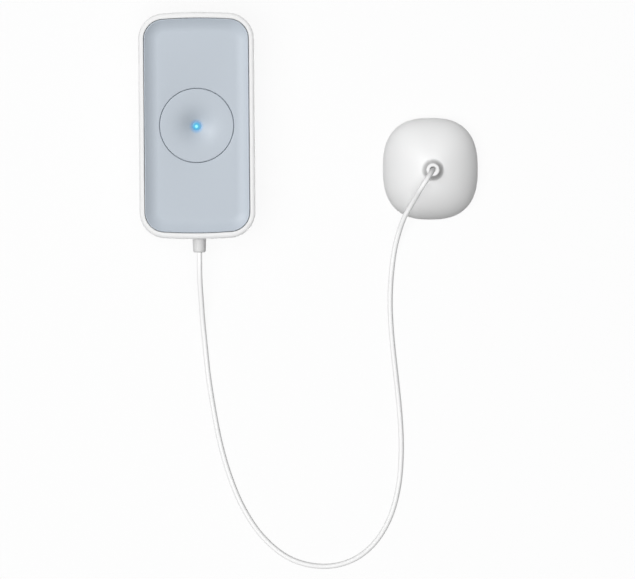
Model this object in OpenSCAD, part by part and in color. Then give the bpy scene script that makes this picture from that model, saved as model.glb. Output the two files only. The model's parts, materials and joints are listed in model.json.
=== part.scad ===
// Water leak sensor: a wall unit with a test button, and a floor probe on a thin lead.
// Millimetres. The wall unit lies on its back, +Z out of its front and +Y towards its top end.
// The origin is the middle of the back face of the wall plate.

/* [Wall unit] */
// Width across the frame
body_w = 41; // [40:0.5:48]
// Length from end to end
body_l = 80.5; // [80:0.5:96]
// Thickness with the wall plate
body_t = 24.6; // [24:0.1:28]
// Corner radius seen from the front
corner_r = 9.2; // [8:0.1:11]
// Radius of the slight bow of the two short ends
end_bow_r = 170; // [100:5:400]
// Wall thickness of the frame and the rear housing
wall_t = 2; // [1.8:0.1:2.4]
// How much thinner the wall is along the long sides
side_ease = 0.25; // [0:0.05:0.4]
// Height of the parting line between frame and rear housing
seam_z = 12; // [10.5:0.5:13]
// Rounding of the frame's outer front edge
edge_r = 1.1; // [0.6:0.1:1.3]

/* [Front panel] */
// Depth of the panel's flat below the frame
panel_drop = 2; // [1.6:0.1:2.4]
// Thickness of the panel at its flat
panel_t = 2; // [1.6:0.1:2.2]
// Rise of the panel's curled rim above its flat
rim_rise = 1.5; // [0.4:0.1:1.5]
// Width over which the rim curls up
rim_w = 4.6; // [2:0.2:4.8]
// Gap between panel and frame
panel_gap = 0.2; // [0.2:0.05:0.5]

/* [Button] */
// Diameter of the cap
button_d = 26; // [21:0.5:28]
// Gap between cap and panel
button_gap = 0.25; // [0.2:0.05:0.5]
// Depth of the dish in the cap
dish_depth = 3.5; // [1:0.1:3.6]
// Distance from the middle over which the dish is steep
dish_reach = 4.6; // [3.6:0.1:5]
// Travel when pressed
button_travel = 0.5; // [0.3:0.05:0.5]
// Diameter of the indicator lens
lens_d = 3.2; // [2:0.1:3.4]

/* [Wall plate] */
// Thickness of the plate
plate_t = 2; // [1.8:0.1:2]
// Travel that frees the hooks
plate_travel = 6; // [5:0.5:6]
// Distance between the two screw holes
hole_pitch = 60; // [56:1:62]
// Diameter of the screw holes
hole_d = 4; // [3:0.1:4.5]

/* [Power and board] */
// Diameter of one cell
cell_d = 10.5; // [9.8:0.1:10.5]
// Length of one cell with its nub
cell_l = 44.5; // [43.5:0.1:44.5]
// Thickness of the circuit board
board_t = 1.6; // [1.2:0.1:1.6]

/* [Lead] */
// Diameter of the lead
lead_d = 1.8; // [1.4:0.1:2]
// Sideways place of the lead at the wall unit
exit_x = 0.5; // [-2:0.5:2]
// Diameter of the strain relief at the case
relief_d = 4.8; // [4.4:0.1:6]
// Diameter of the strain relief at its free end
relief_end_d = 4.5; // [3.4:0.1:5]
// Length of the strain relief outside the case
relief_l = 4.75; // [4:0.25:9]

/* [Probe] */
// Width of the probe
probe_w = 33.8; // [32:0.2:42]
// Length of the probe
probe_l = 36.2; // [34:0.2:44]
// Height of the dome above the floor
probe_h = 17; // [14:0.2:20]
// Squareness of the outline, where 2 is an ellipse
probe_square = 2.57; // [2.2:0.01:3.6]
// Fullness of the dome seen from the side
dome_full = 1.6; // [1.4:0.05:3]
// Place of the probe's middle across the wall unit
probe_x = 82.9; // [76:0.1:100]
// Place of the probe's middle along the wall unit
probe_y = -15.9; // [-24:0.1:10]
// Sideways offset of the collar from the probe's middle
collar_dx = 0.8; // [-2:0.1:2]
// Lengthways offset of the collar from the probe's middle
collar_dy = -0.5; // [-2:0.1:2]
// Radius of the collar at its foot
collar_foot_r = 3.9; // [3.4:0.1:5]
// Radius of the collar at its top
collar_top_r = 2.35; // [2.2:0.05:2.8]
// Rise of the collar above the dome
collar_h = 2.2; // [1:0.1:3]

/* [Hidden] */
$fn = 72;

// Colours of the pieces
white = [0.94, 0.94, 0.94];
blue_grey = [0.75, 0.785, 0.825];
light_grey = [0.82, 0.82, 0.82];
steel = [0.72, 0.73, 0.74];
brass = [0.83, 0.69, 0.37];
green = [0.1, 0.4, 0.22];
black = [0.09, 0.09, 0.1];
red = [0.75, 0.15, 0.12];
foil_blue = [0.2, 0.35, 0.6];
clear_blue = [0.75, 0.88, 1];
cream = [0.95, 0.95, 0.85];

// Points along a corner, along half a bowed end, and round the probe
corner_steps = 10;
end_steps = 3;
probe_steps = 48;

// Clearances: sliding faces, pressed-in shanks and loose fits
slide_gap = 0.15;
shank_gap = 0.05;
loose_gap = 0.1;

// How far joined shapes run into each other, and how far cuts run past a face
joined = 0.5;
past = 1;

// Where a corner arc has its centre and where it meets the bowed end
corner_x = body_w / 2 - corner_r;
bow_y = body_l / 2 - end_bow_r;
corner_y = bow_y + sqrt(pow(end_bow_r - corner_r, 2) - pow(corner_x, 2));
bow_angle = atan2(corner_y - bow_y, corner_x);

// Heights, from the wall plate up to the board
rear_z = plate_t + slide_gap;
rear_edge_r = 1.1;
rear_edge = [for (t = [0:15:90]) rear_edge_r * [1 - sin(t), 1 - cos(t)]];
floor_t = 1.7;
floor_z = rear_z + floor_t;
cell_room = 0.6;
roof_room = 0.25;
cell_z = plate_t + cell_room + cell_d / 2;
roof_z = cell_z + cell_d / 2 + roof_room;
roof_t = 1;
board_room = 0.6;
board_z = roof_z + roof_t + board_room;
board_top = board_z + board_t;

// Heights, from the front down to the panel
flat_z = body_t - panel_drop;
panel_z = flat_z - panel_t;
rim_z = flat_z + rim_rise;

// Panel: bevel below, rounding of its upper edge and points along its curl
panel_bevel = 0.2;
rim_round = 0.25;
rim_steps = 7;

// Frame: small inner rounding, the ledge under the panel and the rebate at the seam
lip_r = 0.4;
edge_steps = 6;
lip_steps = 3;
ledge_w = 1.4;
ledge_in = wall_t + ledge_w;
ledge_t = 1.2;
ledge_slope = 0.7;
rebate_in = 0.9;
rebate_t = wall_t - rebate_in;
rebate_h = 1.6;
tongue_t = rebate_t + loose_gap;
tongue_h = 1.45;
seam_bevel = 0.2;

// Corner screws that join frame and rear housing
boss_from_side = 5.5;
boss_from_end = 7.75;
boss_x = body_w / 2 - boss_from_side;
boss_y = body_l / 2 - boss_from_end;
boss_r = 2.8;
screw_r = 0.95;
screw_head_r = 2;
screw_head_h = 1.4;
screw_room = 0.2;
cross_w = 0.4;
cross_depth = 0.6;
cross_reach = 0.6;
screw_sunk = 1.9;
screw_seat = rear_z + screw_sunk;
screw_bite = 3.6;
screw_tip = seam_z + screw_bite;
tip_room = 0.3;

// Battery bay, with the cells side by side and head to tail
cell_gap = 0.8;
bay_room = 0.6;
cell_pitch = cell_d + cell_gap;
bay_w = cell_pitch + cell_d + bay_room;
bay_wall = 1.2;
bump_h = 0.6;
spring_l = 5.1;
contact_t = 0.4;
bay_l = cell_l + bump_h + spring_l + 2 * (contact_t + loose_gap);
contact_y = bay_l / 2 - loose_gap - contact_t;
contact_h = 8.4;
contact_w = 8.6;
tab_w = 2;
tab_gap = 0.2;
spring_wire_r = 0.3;
spring_turns = 4;
spring_foot_r = 3.2;
spring_tip_r = 2.3;
spring_steps = 8;
spring_sides = 6;
bump_r = 2.2;
nub_r = 1.9;
nub_h = 1.1;
nub_bevel = 0.2;
cell_bevel = 0.5;

// Board, its posts and screws
board_from_boss = 1.2;
board_past_post = 1.7;
post_from_end = 8.5;
post_r = 1.9;
post_x = boss_x;
board_w = 2 * (post_x + board_past_post);
board_l = 2 * (boss_y - boss_r - board_from_boss);
post_y = board_l / 2 - post_from_end;
board_screw_r = 0.8;
board_head_r = 1.6;
board_head_h = 1;
board_screw_l = 6;
board_hole_gap = 0.25;

// Button cap, its flange, the switch under it and the lens in it
cap_r = button_d / 2;
cap_t = 1.2;
cap_edge = 0.25;
cap_wall = 1.4;
cap_steps = 22;
under_steps = 10;
flange_lap = 0.8;
flange_r = cap_r + button_gap + flange_lap;
flange_t = 0.9;
lens_r = lens_d / 2;
lens_seat_w = 1.2;
lens_seat_r = lens_r + lens_seat_w;
lens_flange_w = 0.5;
lens_flange_r = lens_r + lens_flange_w;
lens_flange_t = 0.4;
lens_sunk = 0.15;
lens_rise = 0.3;
led_h = 0.6;
lens_room = 0.2;
lens_z = board_top + led_h + button_travel + lens_room;
lens_seat_z = lens_z + lens_flange_t;
switch_y = -7;
switch_w = 5.2;
switch_h = 1.8;
plunger_r = 1.25;
rib_r = 1;
plunger_spare = 0.05;
plunger_out = button_travel + plunger_spare;
plunger_z = board_top + switch_h + plunger_out;
plunger_in = 0.8;
plunger_l = plunger_out + plunger_in;
switch_floor = 0.2;
switch_leg = [1, 0.8, 0.3];
switch_leg_y = 1.8;
switch_leg_out = 0.4;
led_size = [1.8, 1, 0.35];
led_dome_r = 0.45;

// Radio module with its can, controller chip and wire antenna on the board
radio_size = [14, 11, 0.8];
radio_from_end = 1.5;
radio_y = board_l / 2 - radio_from_end - radio_size[1] / 2;
can_size = [11, 8, 1.1];
can_y = -0.5;
chip_x = -6;
chip_from_header = 1;
chip_w = 7;
chip_t = 1;
chip_lift = 0.1;
chip_legs = 3;
chip_leg_pitch = 0.9;
chip_leg = [1.2, 0.4, 0.3];
chip_leg_in = 0.3;
antenna_x = 9;
antenna_r = 0.4;
antenna_joint_r = 0.45;
antenna_foot_r = 0.6;
antenna_lift = 0.5;
antenna_from_end = 6.5;
antenna_inset = 2;

// Hooks of the wall plate and the slots they run in
plate_inset = 0.4;
plate_bevel = 0.5;
hook_from_boss = 0.4;
hook_below_post = 8;
hook_above_post = 12;
hook_x = boss_x - hook_from_boss;
hook_ys = [post_y - hook_below_post, hook_above_post - post_y];
hook_l = 4;
hook_w = 1.2;
hook_reach = 1.4;
hook_t = 1.2;
hook_z = floor_z + loose_gap;
slot_gap = 0.3;
sink_r = hole_d / 2 + 1.7;
sink_h = 1.2;

// Strain relief: its neck in the wall and its flange inside
neck_step = 0.5;
neck_r = relief_d / 2 - neck_step;
relief_flange_w = 0.4;
relief_flange_r = relief_d / 2 + relief_flange_w;
relief_flange_t = 1.2;
relief_round = 0.7;
relief_steps = 5;
relief_in = wall_t + relief_flange_t + shank_gap;

// Plug and header of the lead on the board
header_w = 6.4;
header_l = 4.2;
header_h = 2.1;
header_from_end = 0.3;
header_y = -board_l / 2 + header_l / 2 + header_from_end;
chip_reach = chip_w / 2 - chip_leg_in + chip_leg[0];
chip_y = header_y + header_l / 2 + chip_from_header + chip_reach;
plug_w = 4.6;
plug_l = 4.8;
plug_h = 1.2;
plug_out = 1.6;
plug_y = header_y - plug_out;
header_floor = 0.4;
plug_z = board_top + header_floor + loose_gap;
core_r = 0.35;
core_pitch = 1;
core_steps = 9;
core_sides = 6;

// Probe, from the floor up
half_w = probe_w / 2;
half_l = probe_l / 2;
rim_bottom = 0.9;
base_z = 1.2;
base_t = 1.8;
base_top = base_z + base_t;
gasket_t = 0.9;
gasket_w = 1.3;
shoulder_z = base_top + gasket_t;
girth_lift = 0.1;
girth_z = shoulder_z + girth_lift;
shell_t = 2.2;
foot_scale = 0.955;
waist_scale = 0.985;
waist_h = 1.1;
crown_scale = 0.45;
crown_step = 0.25;
dome_rows = 9;
dome_stop = 83;
hollow_stop = 58;
hollow_rows = 4;
flare_rows = 5;
flare_bend = 1.3;
rim_t = 1.6;
hollow_t = 2.8;
base_gap = 0.15;
rim_scale = 1 - rim_t / half_w;
base_scale = rim_scale - base_gap / half_w;
hollow_scale = 1 - hollow_t / half_w;
hollow_foot = 0.3;
hollow_mid = 0.4;
mouth_lip = 1;
ceiling_z = probe_h - shell_t;
collar_z = probe_h + collar_h;
collar_wall = 0.6;
collar_bore_r = collar_top_r - collar_wall;

// Bush in the collar, which the lead goes into
bush_r = collar_bore_r - shank_gap;
bush_room = 0.25;
bush_bore_r = lead_d / 2 + bush_room;
bush_rim_h = 0.85;
bush_top = collar_z + bush_rim_h;
bush_rim_round = 0.35;
bush_rim_steps = 5;
bush_mouth = 0.2;
lead_sunk = 2;
bush_web_z = collar_z - lead_sunk;
bush_out = 1.2;
bush_bottom = ceiling_z - bush_out;
bush_lip_w = 0.6;
bush_lip_r = bush_r + bush_lip_w;

// Studs that stand on the floor and the small board above them
stud_x = 8;
stud_y = 8.5;
stud_head_r = 2.5;
stud_r = 1;
stud_bevel = 0.3;
pillar_r = 2.2;
pillar_h = 1;
probe_board_z = base_top + pillar_h;
probe_board_t = 1;
probe_board_top = probe_board_z + probe_board_t;
probe_board_scale = 0.72;
stud_out = 0.6;
stud_tip = probe_board_top + stud_out;

// Ends of the lead: the strain relief's end face and the floor of the bush's bore
lead_start = [exit_x, -body_l / 2 - relief_l, seam_z];
lead_end = [probe_x + collar_dx, probe_y + collar_dy, bush_web_z];
lead_sides = 8;
lie = lead_d / 2 + shank_gap;
lead_substeps = 2;

// Route of the lead's middle line across the floor, as it lies
route = [
    [0.5, -45, 12],
    [0.5, -48.5, 11.9],
    [0.5, -53, 10.9],
    [0.7, -58, 8.8],
    [1, -63, 6.2],
    [1.3, -68.5, 3.7],
    [1.8, -74.5, 1.8],
    [2.4, -81, 1],
    [3.2, -89, lie],
    [4.8, -100, lie],
    [7, -112, lie],
    [10.3, -124.1, lie],
    [15.2, -136.1, lie],
    [22.3, -146.7, lie],
    [31.9, -154.4, lie],
    [43, -157.2, lie],
    [53.2, -155.4, lie],
    [61.3, -149.7, lie],
    [67.2, -140.6, lie],
    [70.5, -129.5, lie],
    [71.7, -117, lie],
    [71.4, -104.5, lie],
    [70.2, -91, lie],
    [68.8, -77, lie],
    [68.2, -66, lie],
    [68.4, -57.5, lie],
    [69.1, -50, 1.05],
    [70.05, -44, 1.95],
    [71.5, -38.5, 4.4],
    [73.45, -33.2, 8.8],
    [75.7, -29.2, 13.3],
    [78, -25.3, 18.95],
    [78.99, -23.6, 21.85],
    [79.93, -22.17, 23.2],
    [81.05, -20.45, 23.79],
    [82.2, -18.7, 23.38],
    [83.12, -17.29, 22.07],
    [83.62, -16.53, 20.14],
    [83.7, -16.4, 18],
    [83.7, -16.4, 17.2]
];
route_last = len(route) - 1;
route_fade = 12;

function lerp(a, b, t) = a + (b - a) * t;
function unit(v) = v / norm(v);
function reversed(list) = [for (i = [len(list) - 1:-1:0]) list[i]];
function lifted(points, z) = [for (p = points) [p[0], p[1], z]];

// Points on an arc
function arc(centre, r, from, to, steps) =
    [for (i = [0:steps]) let (t = lerp(from, to, i / steps)) centre + r * [cos(t), sin(t)]];

// Outline of the wall unit, drawn in by an inset: straight sides, round corners, bowed ends
function side_shift(inset) = side_ease * min(1, inset / wall_t);
function quarter(inset) = concat(
    arc([corner_x + side_shift(inset), corner_y], corner_r - inset, 0, bow_angle, corner_steps),
    [for (i = [1:end_steps - 1]) let (t = lerp(bow_angle, 90, i / end_steps))
        [0, bow_y] + (end_bow_r - inset) * [cos(t), sin(t)]]);
function upper(inset) = let (q = quarter(inset)) concat(
    q,
    [[0, body_l / 2 - inset]],
    reversed([for (p = q) [-p[0], p[1]]]));
function outline(inset) = let (u = upper(inset)) concat(u, [for (p = u) -p]);
function ring(inset, z) = lifted(outline(inset), z);

// Outline of the probe at a scale, and a circle whose points face the same way
function girth(t) = [
    half_w * sign(cos(t)) * pow(abs(cos(t)), 2 / probe_square),
    half_l * sign(sin(t)) * pow(abs(sin(t)), 2 / probe_square)];
probe_angles = [for (i = [0:probe_steps - 1]) 360 * i / probe_steps];
function pebble(scale) = [for (t = probe_angles) scale * girth(t)];
function eye(r) = [for (t = probe_angles) [collar_dx, collar_dy] + r * unit(girth(t))];
function between(a, b, t) = [for (i = [0:len(a) - 1]) lerp(a[i], b[i], t)];

// How far out a point of the probe lies, where 1 is the rim, and the dome's height there
function outness(p) =
    pow(pow(abs(p[0]) / half_w, probe_square) + pow(abs(p[1]) / half_l, probe_square), 1 / probe_square);
function dome_z(k) = lerp(girth_z, probe_h, pow(1 - pow(min(k, 1), dome_full), 1 / dome_full));
function on_dome(points) = [for (p = points) [p[0], p[1], dome_z(outness(p))]];

// Depth of the button's dish, a funnel that runs out softly towards the cap's edge
function dish(r) = dish_depth * exp(-pow(r / dish_reach, 1.5));

// Middle line of the lead: the route, led to both ends, with soft bends between its points
function faded(i) = max(0, 1 - i / route_fade);
function led(i) = route[i]
    + (lead_start - route[0]) * faded(i)
    + (lead_end - route[route_last]) * faded(route_last - i);
line = [for (i = [0:route_last]) let (p = led(i)) [p[0], p[1], max(p[2], lie)]];
line_dirs = [for (i = [0:route_last])
    i == 0 ? [0, -1, 0] : i == route_last ? [0, 0, -1] : unit(line[i + 1] - line[i - 1])];
function soft(i, u) = let (l = norm(line[i + 1] - line[i]))
    (2 * pow(u, 3) - 3 * pow(u, 2) + 1) * line[i]
    + (pow(u, 3) - 2 * pow(u, 2) + u) * l * line_dirs[i]
    + (3 * pow(u, 2) - 2 * pow(u, 3)) * line[i + 1]
    + (pow(u, 3) - pow(u, 2)) * l * line_dirs[i + 1];
lead_path = concat(
    [for (i = [0:route_last - 1]) for (s = [0:lead_substeps - 1]) soft(i, s / lead_substeps)],
    [line[route_last]]);

// Rings of a tube along a path, carried along without twist
function path_dirs(path, from, to) = [for (i = [0:len(path) - 1])
    i == 0 ? from : i == len(path) - 1 ? to : unit(path[i + 1] - path[i - 1])];
function square_to(v, d) = unit(v - (v * d) * d);
function carried(dirs, side) = [for (i = 0, u = square_to(side, dirs[0]); i < len(dirs);
    i = i + 1, u = square_to(u, dirs[min(i, len(dirs) - 1)])) u];
function tube_rings(path, dirs, sides, r, n) = [for (i = [0:len(path) - 1])
    [for (k = [0:n - 1]) path[i]
        + r * cos(360 * k / n) * sides[i]
        + r * sin(360 * k / n) * cross(dirs[i], sides[i])]];

// Side faces between ring and ring
function skin(n, pairs) = [for (p = pairs) for (i = [0:n - 1])
    let (a = p[0] * n + i, b = p[0] * n + (i + 1) % n, c = p[1] * n + i, d = p[1] * n + (i + 1) % n)
    each [[a, c, b], [b, c, d]]];

// Solid through a row of rings, closed by flat ends
module loft(rings) {
    n = len(rings[0]);
    last = len(rings) - 1;
    polyhedron(
        [for (r = rings) each r],
        concat(
            [[for (i = [0:n - 1]) i]],
            skin(n, [for (j = [0:last - 1]) [j, j + 1]]),
            [[for (i = [n - 1:-1:0]) last * n + i]]));
}

// Solid hoop through a closed round of rings
module hoop(rings) {
    n = len(rings[0]);
    last = len(rings) - 1;
    polyhedron(
        [for (r = rings) each r],
        skin(n, [for (j = [0:last]) [j, (j + 1) % (last + 1)]]));
}

// Round tube along a path
module tube(path, from, to, side, r, n) {
    dirs = path_dirs(path, from, to);
    loft(tube_rings(path, dirs, carried(dirs, side), r, n));
}

module at_corners(x, y) {
    for (sx = [-1, 1])
        for (sy = [-1, 1])
            translate([sx * x, sy * y, 0])
                children();
}

module relief_hole() {
    translate([exit_x, -body_l / 2 + wall_t + joined, seam_z])
        rotate([90, 0, 0])
            cylinder(r = neck_r + shank_gap, h = wall_t + joined + past);
}

module front_frame() {
    profile = concat(
        [[seam_bevel, seam_z], [0, seam_z + seam_bevel]],
        [for (p = arc([0, 0], edge_r, 180, 90, edge_steps)) [edge_r + p[0], body_t - edge_r + p[1]]],
        [for (p = arc([0, 0], lip_r, 90, 0, lip_steps)) [wall_t - lip_r + p[0], body_t - lip_r + p[1]]],
        [
            [wall_t, panel_z],
            [ledge_in, panel_z],
            [ledge_in, panel_z - ledge_t],
            [wall_t, panel_z - ledge_t - ledge_slope],
            [wall_t, seam_z + rebate_h],
            [rebate_t, seam_z + rebate_h],
            [rebate_t, seam_z]
        ]);
    color(white)
        difference() {
            union() {
                hoop([for (p = profile) ring(p[0], p[1])]);
                at_corners(boss_x, boss_y)
                    translate([0, 0, seam_z])
                        cylinder(r = boss_r, h = panel_z - ledge_t - seam_z + joined);
            }
            at_corners(boss_x, boss_y)
                translate([0, 0, seam_z - past])
                    cylinder(r = screw_r + shank_gap, h = screw_tip + tip_room - seam_z + past);
            relief_hole();
        }
}

module front_panel() {
    edge = wall_t + panel_gap;
    rows = concat(
        [
            [edge + panel_bevel, panel_z],
            [edge, panel_z + panel_bevel]
        ],
        [for (p = arc([0, 0], rim_round, 180, 90, 2)) [edge + rim_round + p[0], rim_z - rim_round + p[1]]],
        [for (i = [1:rim_steps]) let (t = i / rim_steps)
            [edge + rim_round + rim_w * t, flat_z + rim_rise * pow(1 - t, 2)]]);
    color(blue_grey)
        difference() {
            loft([for (p = rows) ring(p[0], p[1])]);
            translate([0, 0, panel_z - past])
                cylinder(r = cap_r + button_gap, h = panel_t + 2 * past);
        }
}

module button_cap() {
    hole_r = lens_r + shank_gap;
    skirt_r = cap_r - cap_wall;
    top = [for (i = [0:cap_steps]) let (r = lerp(hole_r, cap_r - cap_edge, i / cap_steps))
        [r, flat_z - dish(r)]];
    under = [for (i = [0:under_steps]) let (r = lerp(skirt_r, lens_seat_r, i / under_steps))
        [r, flat_z - cap_t - dish(r)]];
    color(blue_grey) {
        rotate_extrude()
            polygon(concat(
                top,
                [
                    [cap_r, flat_z - cap_edge],
                    [cap_r, panel_z],
                    [flange_r, panel_z],
                    [flange_r, panel_z - flange_t],
                    [skirt_r, panel_z - flange_t]
                ],
                under,
                [[lens_seat_r, lens_seat_z], [hole_r, lens_seat_z]]));
        translate([0, switch_y, plunger_z])
            cylinder(r = rib_r, h = flat_z - cap_t / 2 - dish(-switch_y) - plunger_z);
    }
}

module indicator_lens() {
    top = flat_z - dish(lens_r) - lens_sunk;
    color(clear_blue)
        rotate_extrude()
            polygon(concat(
                [
                    [0, lens_z],
                    [lens_flange_r, lens_z],
                    [lens_flange_r, lens_seat_z],
                    [lens_r, lens_seat_z]
                ],
                [for (t = [0:15:90]) [lens_r * cos(t), top + lens_rise * sin(t)]]));
}

module switch_plunger() {
    color(black)
        translate([0, switch_y, plunger_z - plunger_l])
            cylinder(r = plunger_r, h = plunger_l);
}

module tact_switch() {
    color(steel)
        translate([0, switch_y, board_top]) {
            difference() {
                translate([-switch_w / 2, -switch_w / 2, 0])
                    cube([switch_w, switch_w, switch_h]);
                translate([0, 0, switch_floor])
                    cylinder(r = plunger_r + loose_gap, h = switch_h);
            }
            for (sx = [-1, 1])
                for (sy = [-1, 1])
                    translate([
                        sx * (switch_w / 2 + switch_leg_out) - switch_leg[0] / 2,
                        sy * switch_leg_y - switch_leg[1] / 2,
                        0])
                        cube(switch_leg);
        }
}

module status_led() {
    color(cream)
        translate([0, 0, board_top]) {
            translate([-led_size[0] / 2, -led_size[1] / 2, 0])
                cube(led_size);
            cylinder(r = led_dome_r, h = led_h);
        }
}

module circuit_board() {
    color(green)
        translate([0, 0, board_z])
            linear_extrude(board_t)
                difference() {
                    square([board_w, board_l], center = true);
                    at_corners(post_x, post_y)
                        circle(r = board_screw_r + board_hole_gap);
                }
}

module radio_module() {
    color(steel)
        translate([0, radio_y, board_top]) {
            translate([-radio_size[0] / 2, -radio_size[1] / 2, 0])
                cube(radio_size);
            translate([-can_size[0] / 2, can_y - can_size[1] / 2, radio_size[2]])
                cube(can_size);
        }
}

module controller_chip() {
    color(black)
        translate([chip_x, chip_y, board_top]) {
            translate([-chip_w / 2, -chip_w / 2, chip_lift])
                cube([chip_w, chip_w, chip_t]);
            for (turn = [0:90:270])
                rotate([0, 0, turn])
                    for (i = [-chip_legs:chip_legs])
                        translate([chip_w / 2 - chip_leg_in, i * chip_leg_pitch - chip_leg[1] / 2, 0])
                            cube(chip_leg);
        }
}

module antenna_wire() {
    reach = body_l / 2 - antenna_from_end;
    foot = board_l / 2 - antenna_inset;
    color(brass)
        translate([0, 0, board_top + antenna_lift]) {
            for (sx = [-1, 1])
                translate([sx * antenna_x, reach, 0])
                    sphere(r = antenna_joint_r);
            translate([-antenna_x, reach, 0])
                rotate([0, 90, 0])
                    cylinder(r = antenna_r, h = 2 * antenna_x);
            translate([antenna_x, reach, 0])
                rotate([90, 0, 0])
                    cylinder(r = antenna_r, h = reach - foot);
            translate([antenna_x, foot, -antenna_lift])
                cylinder(r = antenna_foot_r, h = antenna_lift + antenna_r);
        }
}

module lead_header() {
    color(white)
        translate([0, header_y, board_top])
            difference() {
                translate([-header_w / 2, -header_l / 2, 0])
                    cube([header_w, header_l, header_h]);
                translate([-plug_w / 2 - loose_gap, -header_l / 2 - past, header_floor])
                    cube([plug_w + 2 * loose_gap, header_l, plug_h + 2 * loose_gap]);
            }
}

module lead_plug() {
    color(white)
        translate([-plug_w / 2, plug_y - plug_l / 2, plug_z])
            cube([plug_w, plug_l, plug_h]);
}

module lead_cores() {
    start = -body_l / 2 + relief_in;
    stop = plug_y - plug_l / 2;
    color(red)
        for (side = [-1, 1])
            tube(
                [for (i = [0:core_steps]) let (u = i / core_steps, s = (1 - cos(180 * u)) / 2) [
                    lerp(exit_x, 0, s) + side * core_pitch / 2,
                    lerp(start, stop, u),
                    lerp(seam_z, plug_z + plug_h / 2, s)]],
                [0, 1, 0], [0, 1, 0], [1, 0, 0], core_r, core_sides);
}

module rear_housing() {
    color(white)
        difference() {
            union() {
                difference() {
                    loft(concat(
                        [for (p = rear_edge) ring(p[0], rear_z + p[1])],
                        [
                            ring(0, seam_z - seam_bevel),
                            ring(seam_bevel, seam_z),
                            ring(tongue_t, seam_z),
                            ring(tongue_t, seam_z + tongue_h)
                        ]));
                    translate([0, 0, floor_z])
                        linear_extrude(seam_z)
                            polygon(outline(wall_t));
                }
                translate([-bay_w / 2 - bay_wall, -bay_l / 2 - bay_wall, floor_z - joined])
                    cube([bay_w + 2 * bay_wall, bay_l + 2 * bay_wall, roof_z + roof_t - floor_z + joined]);
                at_corners(boss_x, boss_y)
                    translate([0, 0, floor_z - joined])
                        cylinder(r = boss_r, h = seam_z - floor_z + joined);
                at_corners(post_x, post_y)
                    translate([0, 0, floor_z - joined])
                        cylinder(r = post_r, h = board_z - floor_z + joined);
            }
            translate([-bay_w / 2, -bay_l / 2, rear_z - past])
                cube([bay_w, bay_l, roof_z - rear_z + past]);
            for (sx = [-1, 1])
                translate([sx * cell_pitch / 2 - tab_w / 2 - tab_gap, -bay_l / 2, roof_z - past])
                    cube([tab_w + 2 * tab_gap, contact_t + 2 * loose_gap, roof_t + 2 * past]);
            at_corners(boss_x, boss_y) {
                translate([0, 0, rear_z - past])
                    cylinder(r = screw_r + screw_room, h = seam_z);
                translate([0, 0, rear_z - past])
                    cylinder(r = screw_head_r + screw_room, h = screw_seat - rear_z + past);
            }
            at_corners(post_x, post_y)
                translate([0, 0, board_top - board_screw_l - tip_room])
                    cylinder(r = board_screw_r + shank_gap, h = board_screw_l);
            for (side = [0, 1])
                mirror([side, 0, 0])
                    for (y = hook_ys)
                        hook_slot(y);
            relief_hole();
        }
}

module hook_slot(y) {
    back = y - hook_l / 2 - plate_travel - slot_gap;
    translate([hook_x - slot_gap, back, rear_z - past]) {
        cube([hook_w + 2 * slot_gap, hook_l + plate_travel + 2 * slot_gap, floor_t + 2 * past]);
        cube([hook_w + hook_reach + 2 * slot_gap, hook_l + 2 * slot_gap, floor_t + 2 * past]);
    }
}

module back_plate() {
    color(white) {
        difference() {
            loft([
                ring(plate_inset + plate_bevel, 0),
                ring(plate_inset, plate_bevel),
                ring(plate_inset, plate_t)
            ]);
            for (sy = [-1, 1])
                translate([0, sy * hole_pitch / 2, 0]) {
                    translate([0, 0, -past])
                        cylinder(d = hole_d, h = plate_t + 2 * past);
                    translate([0, 0, plate_t - sink_h])
                        cylinder(r1 = hole_d / 2, r2 = sink_r, h = sink_h + loose_gap);
                }
        }
        for (side = [0, 1])
            mirror([side, 0, 0])
                for (y = hook_ys)
                    translate([hook_x, y - hook_l / 2, plate_t - joined]) {
                        cube([hook_w, hook_l, hook_z + hook_t - plate_t + joined]);
                        translate([0, 0, hook_z - plate_t + joined])
                            cube([hook_w + hook_reach, hook_l, hook_t]);
                    }
    }
}

// One cell, its flat end at the origin and its nub towards +Y
module cell() {
    body = cell_l - nub_h;
    rotate([-90, 0, 0])
        rotate_extrude()
            polygon([
                [0, 0],
                [cell_d / 2 - cell_bevel, 0],
                [cell_d / 2, cell_bevel],
                [cell_d / 2, body - cell_bevel],
                [cell_d / 2 - cell_bevel, body],
                [nub_r, body],
                [nub_r, cell_l - nub_bevel],
                [nub_r - nub_bevel, cell_l],
                [0, cell_l]
            ]);
}

module battery_left() {
    color(foil_blue)
        translate([-cell_pitch / 2, contact_y - bump_h - cell_l, cell_z])
            cell();
}

module battery_right() {
    color(foil_blue)
        translate([cell_pitch / 2, -contact_y + bump_h + cell_l, cell_z])
            rotate([0, 0, 180])
                cell();
}

// Coil from its contact plate at the origin towards +Y
module coil() {
    steps = spring_steps * spring_turns;
    tube(
        [for (i = [0:steps]) let (u = i / steps, r = lerp(spring_foot_r, spring_tip_r, u)) [
            r * cos(360 * spring_turns * u),
            lerp(-contact_t / 2, spring_l - spring_wire_r - shank_gap, u),
            r * sin(360 * spring_turns * u)]],
        [0, 0, 1], [0, 0, 1], [1, 0, 0], spring_wire_r, spring_sides);
}

module bump() {
    rotate([-90, 0, 0])
        translate([0, 0, -contact_t / 2])
            cylinder(r = bump_r, h = bump_h + contact_t / 2);
}

module bridge_contact() {
    width = cell_pitch + contact_w;
    color(steel)
        translate([0, contact_y, cell_z]) {
            translate([-width / 2, 0, -contact_h / 2])
                cube([width, contact_t, contact_h]);
            rotate([0, 0, 180]) {
                translate([cell_pitch / 2, 0, 0])
                    bump();
                translate([-cell_pitch / 2, 0, 0])
                    coil();
            }
        }
}

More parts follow.
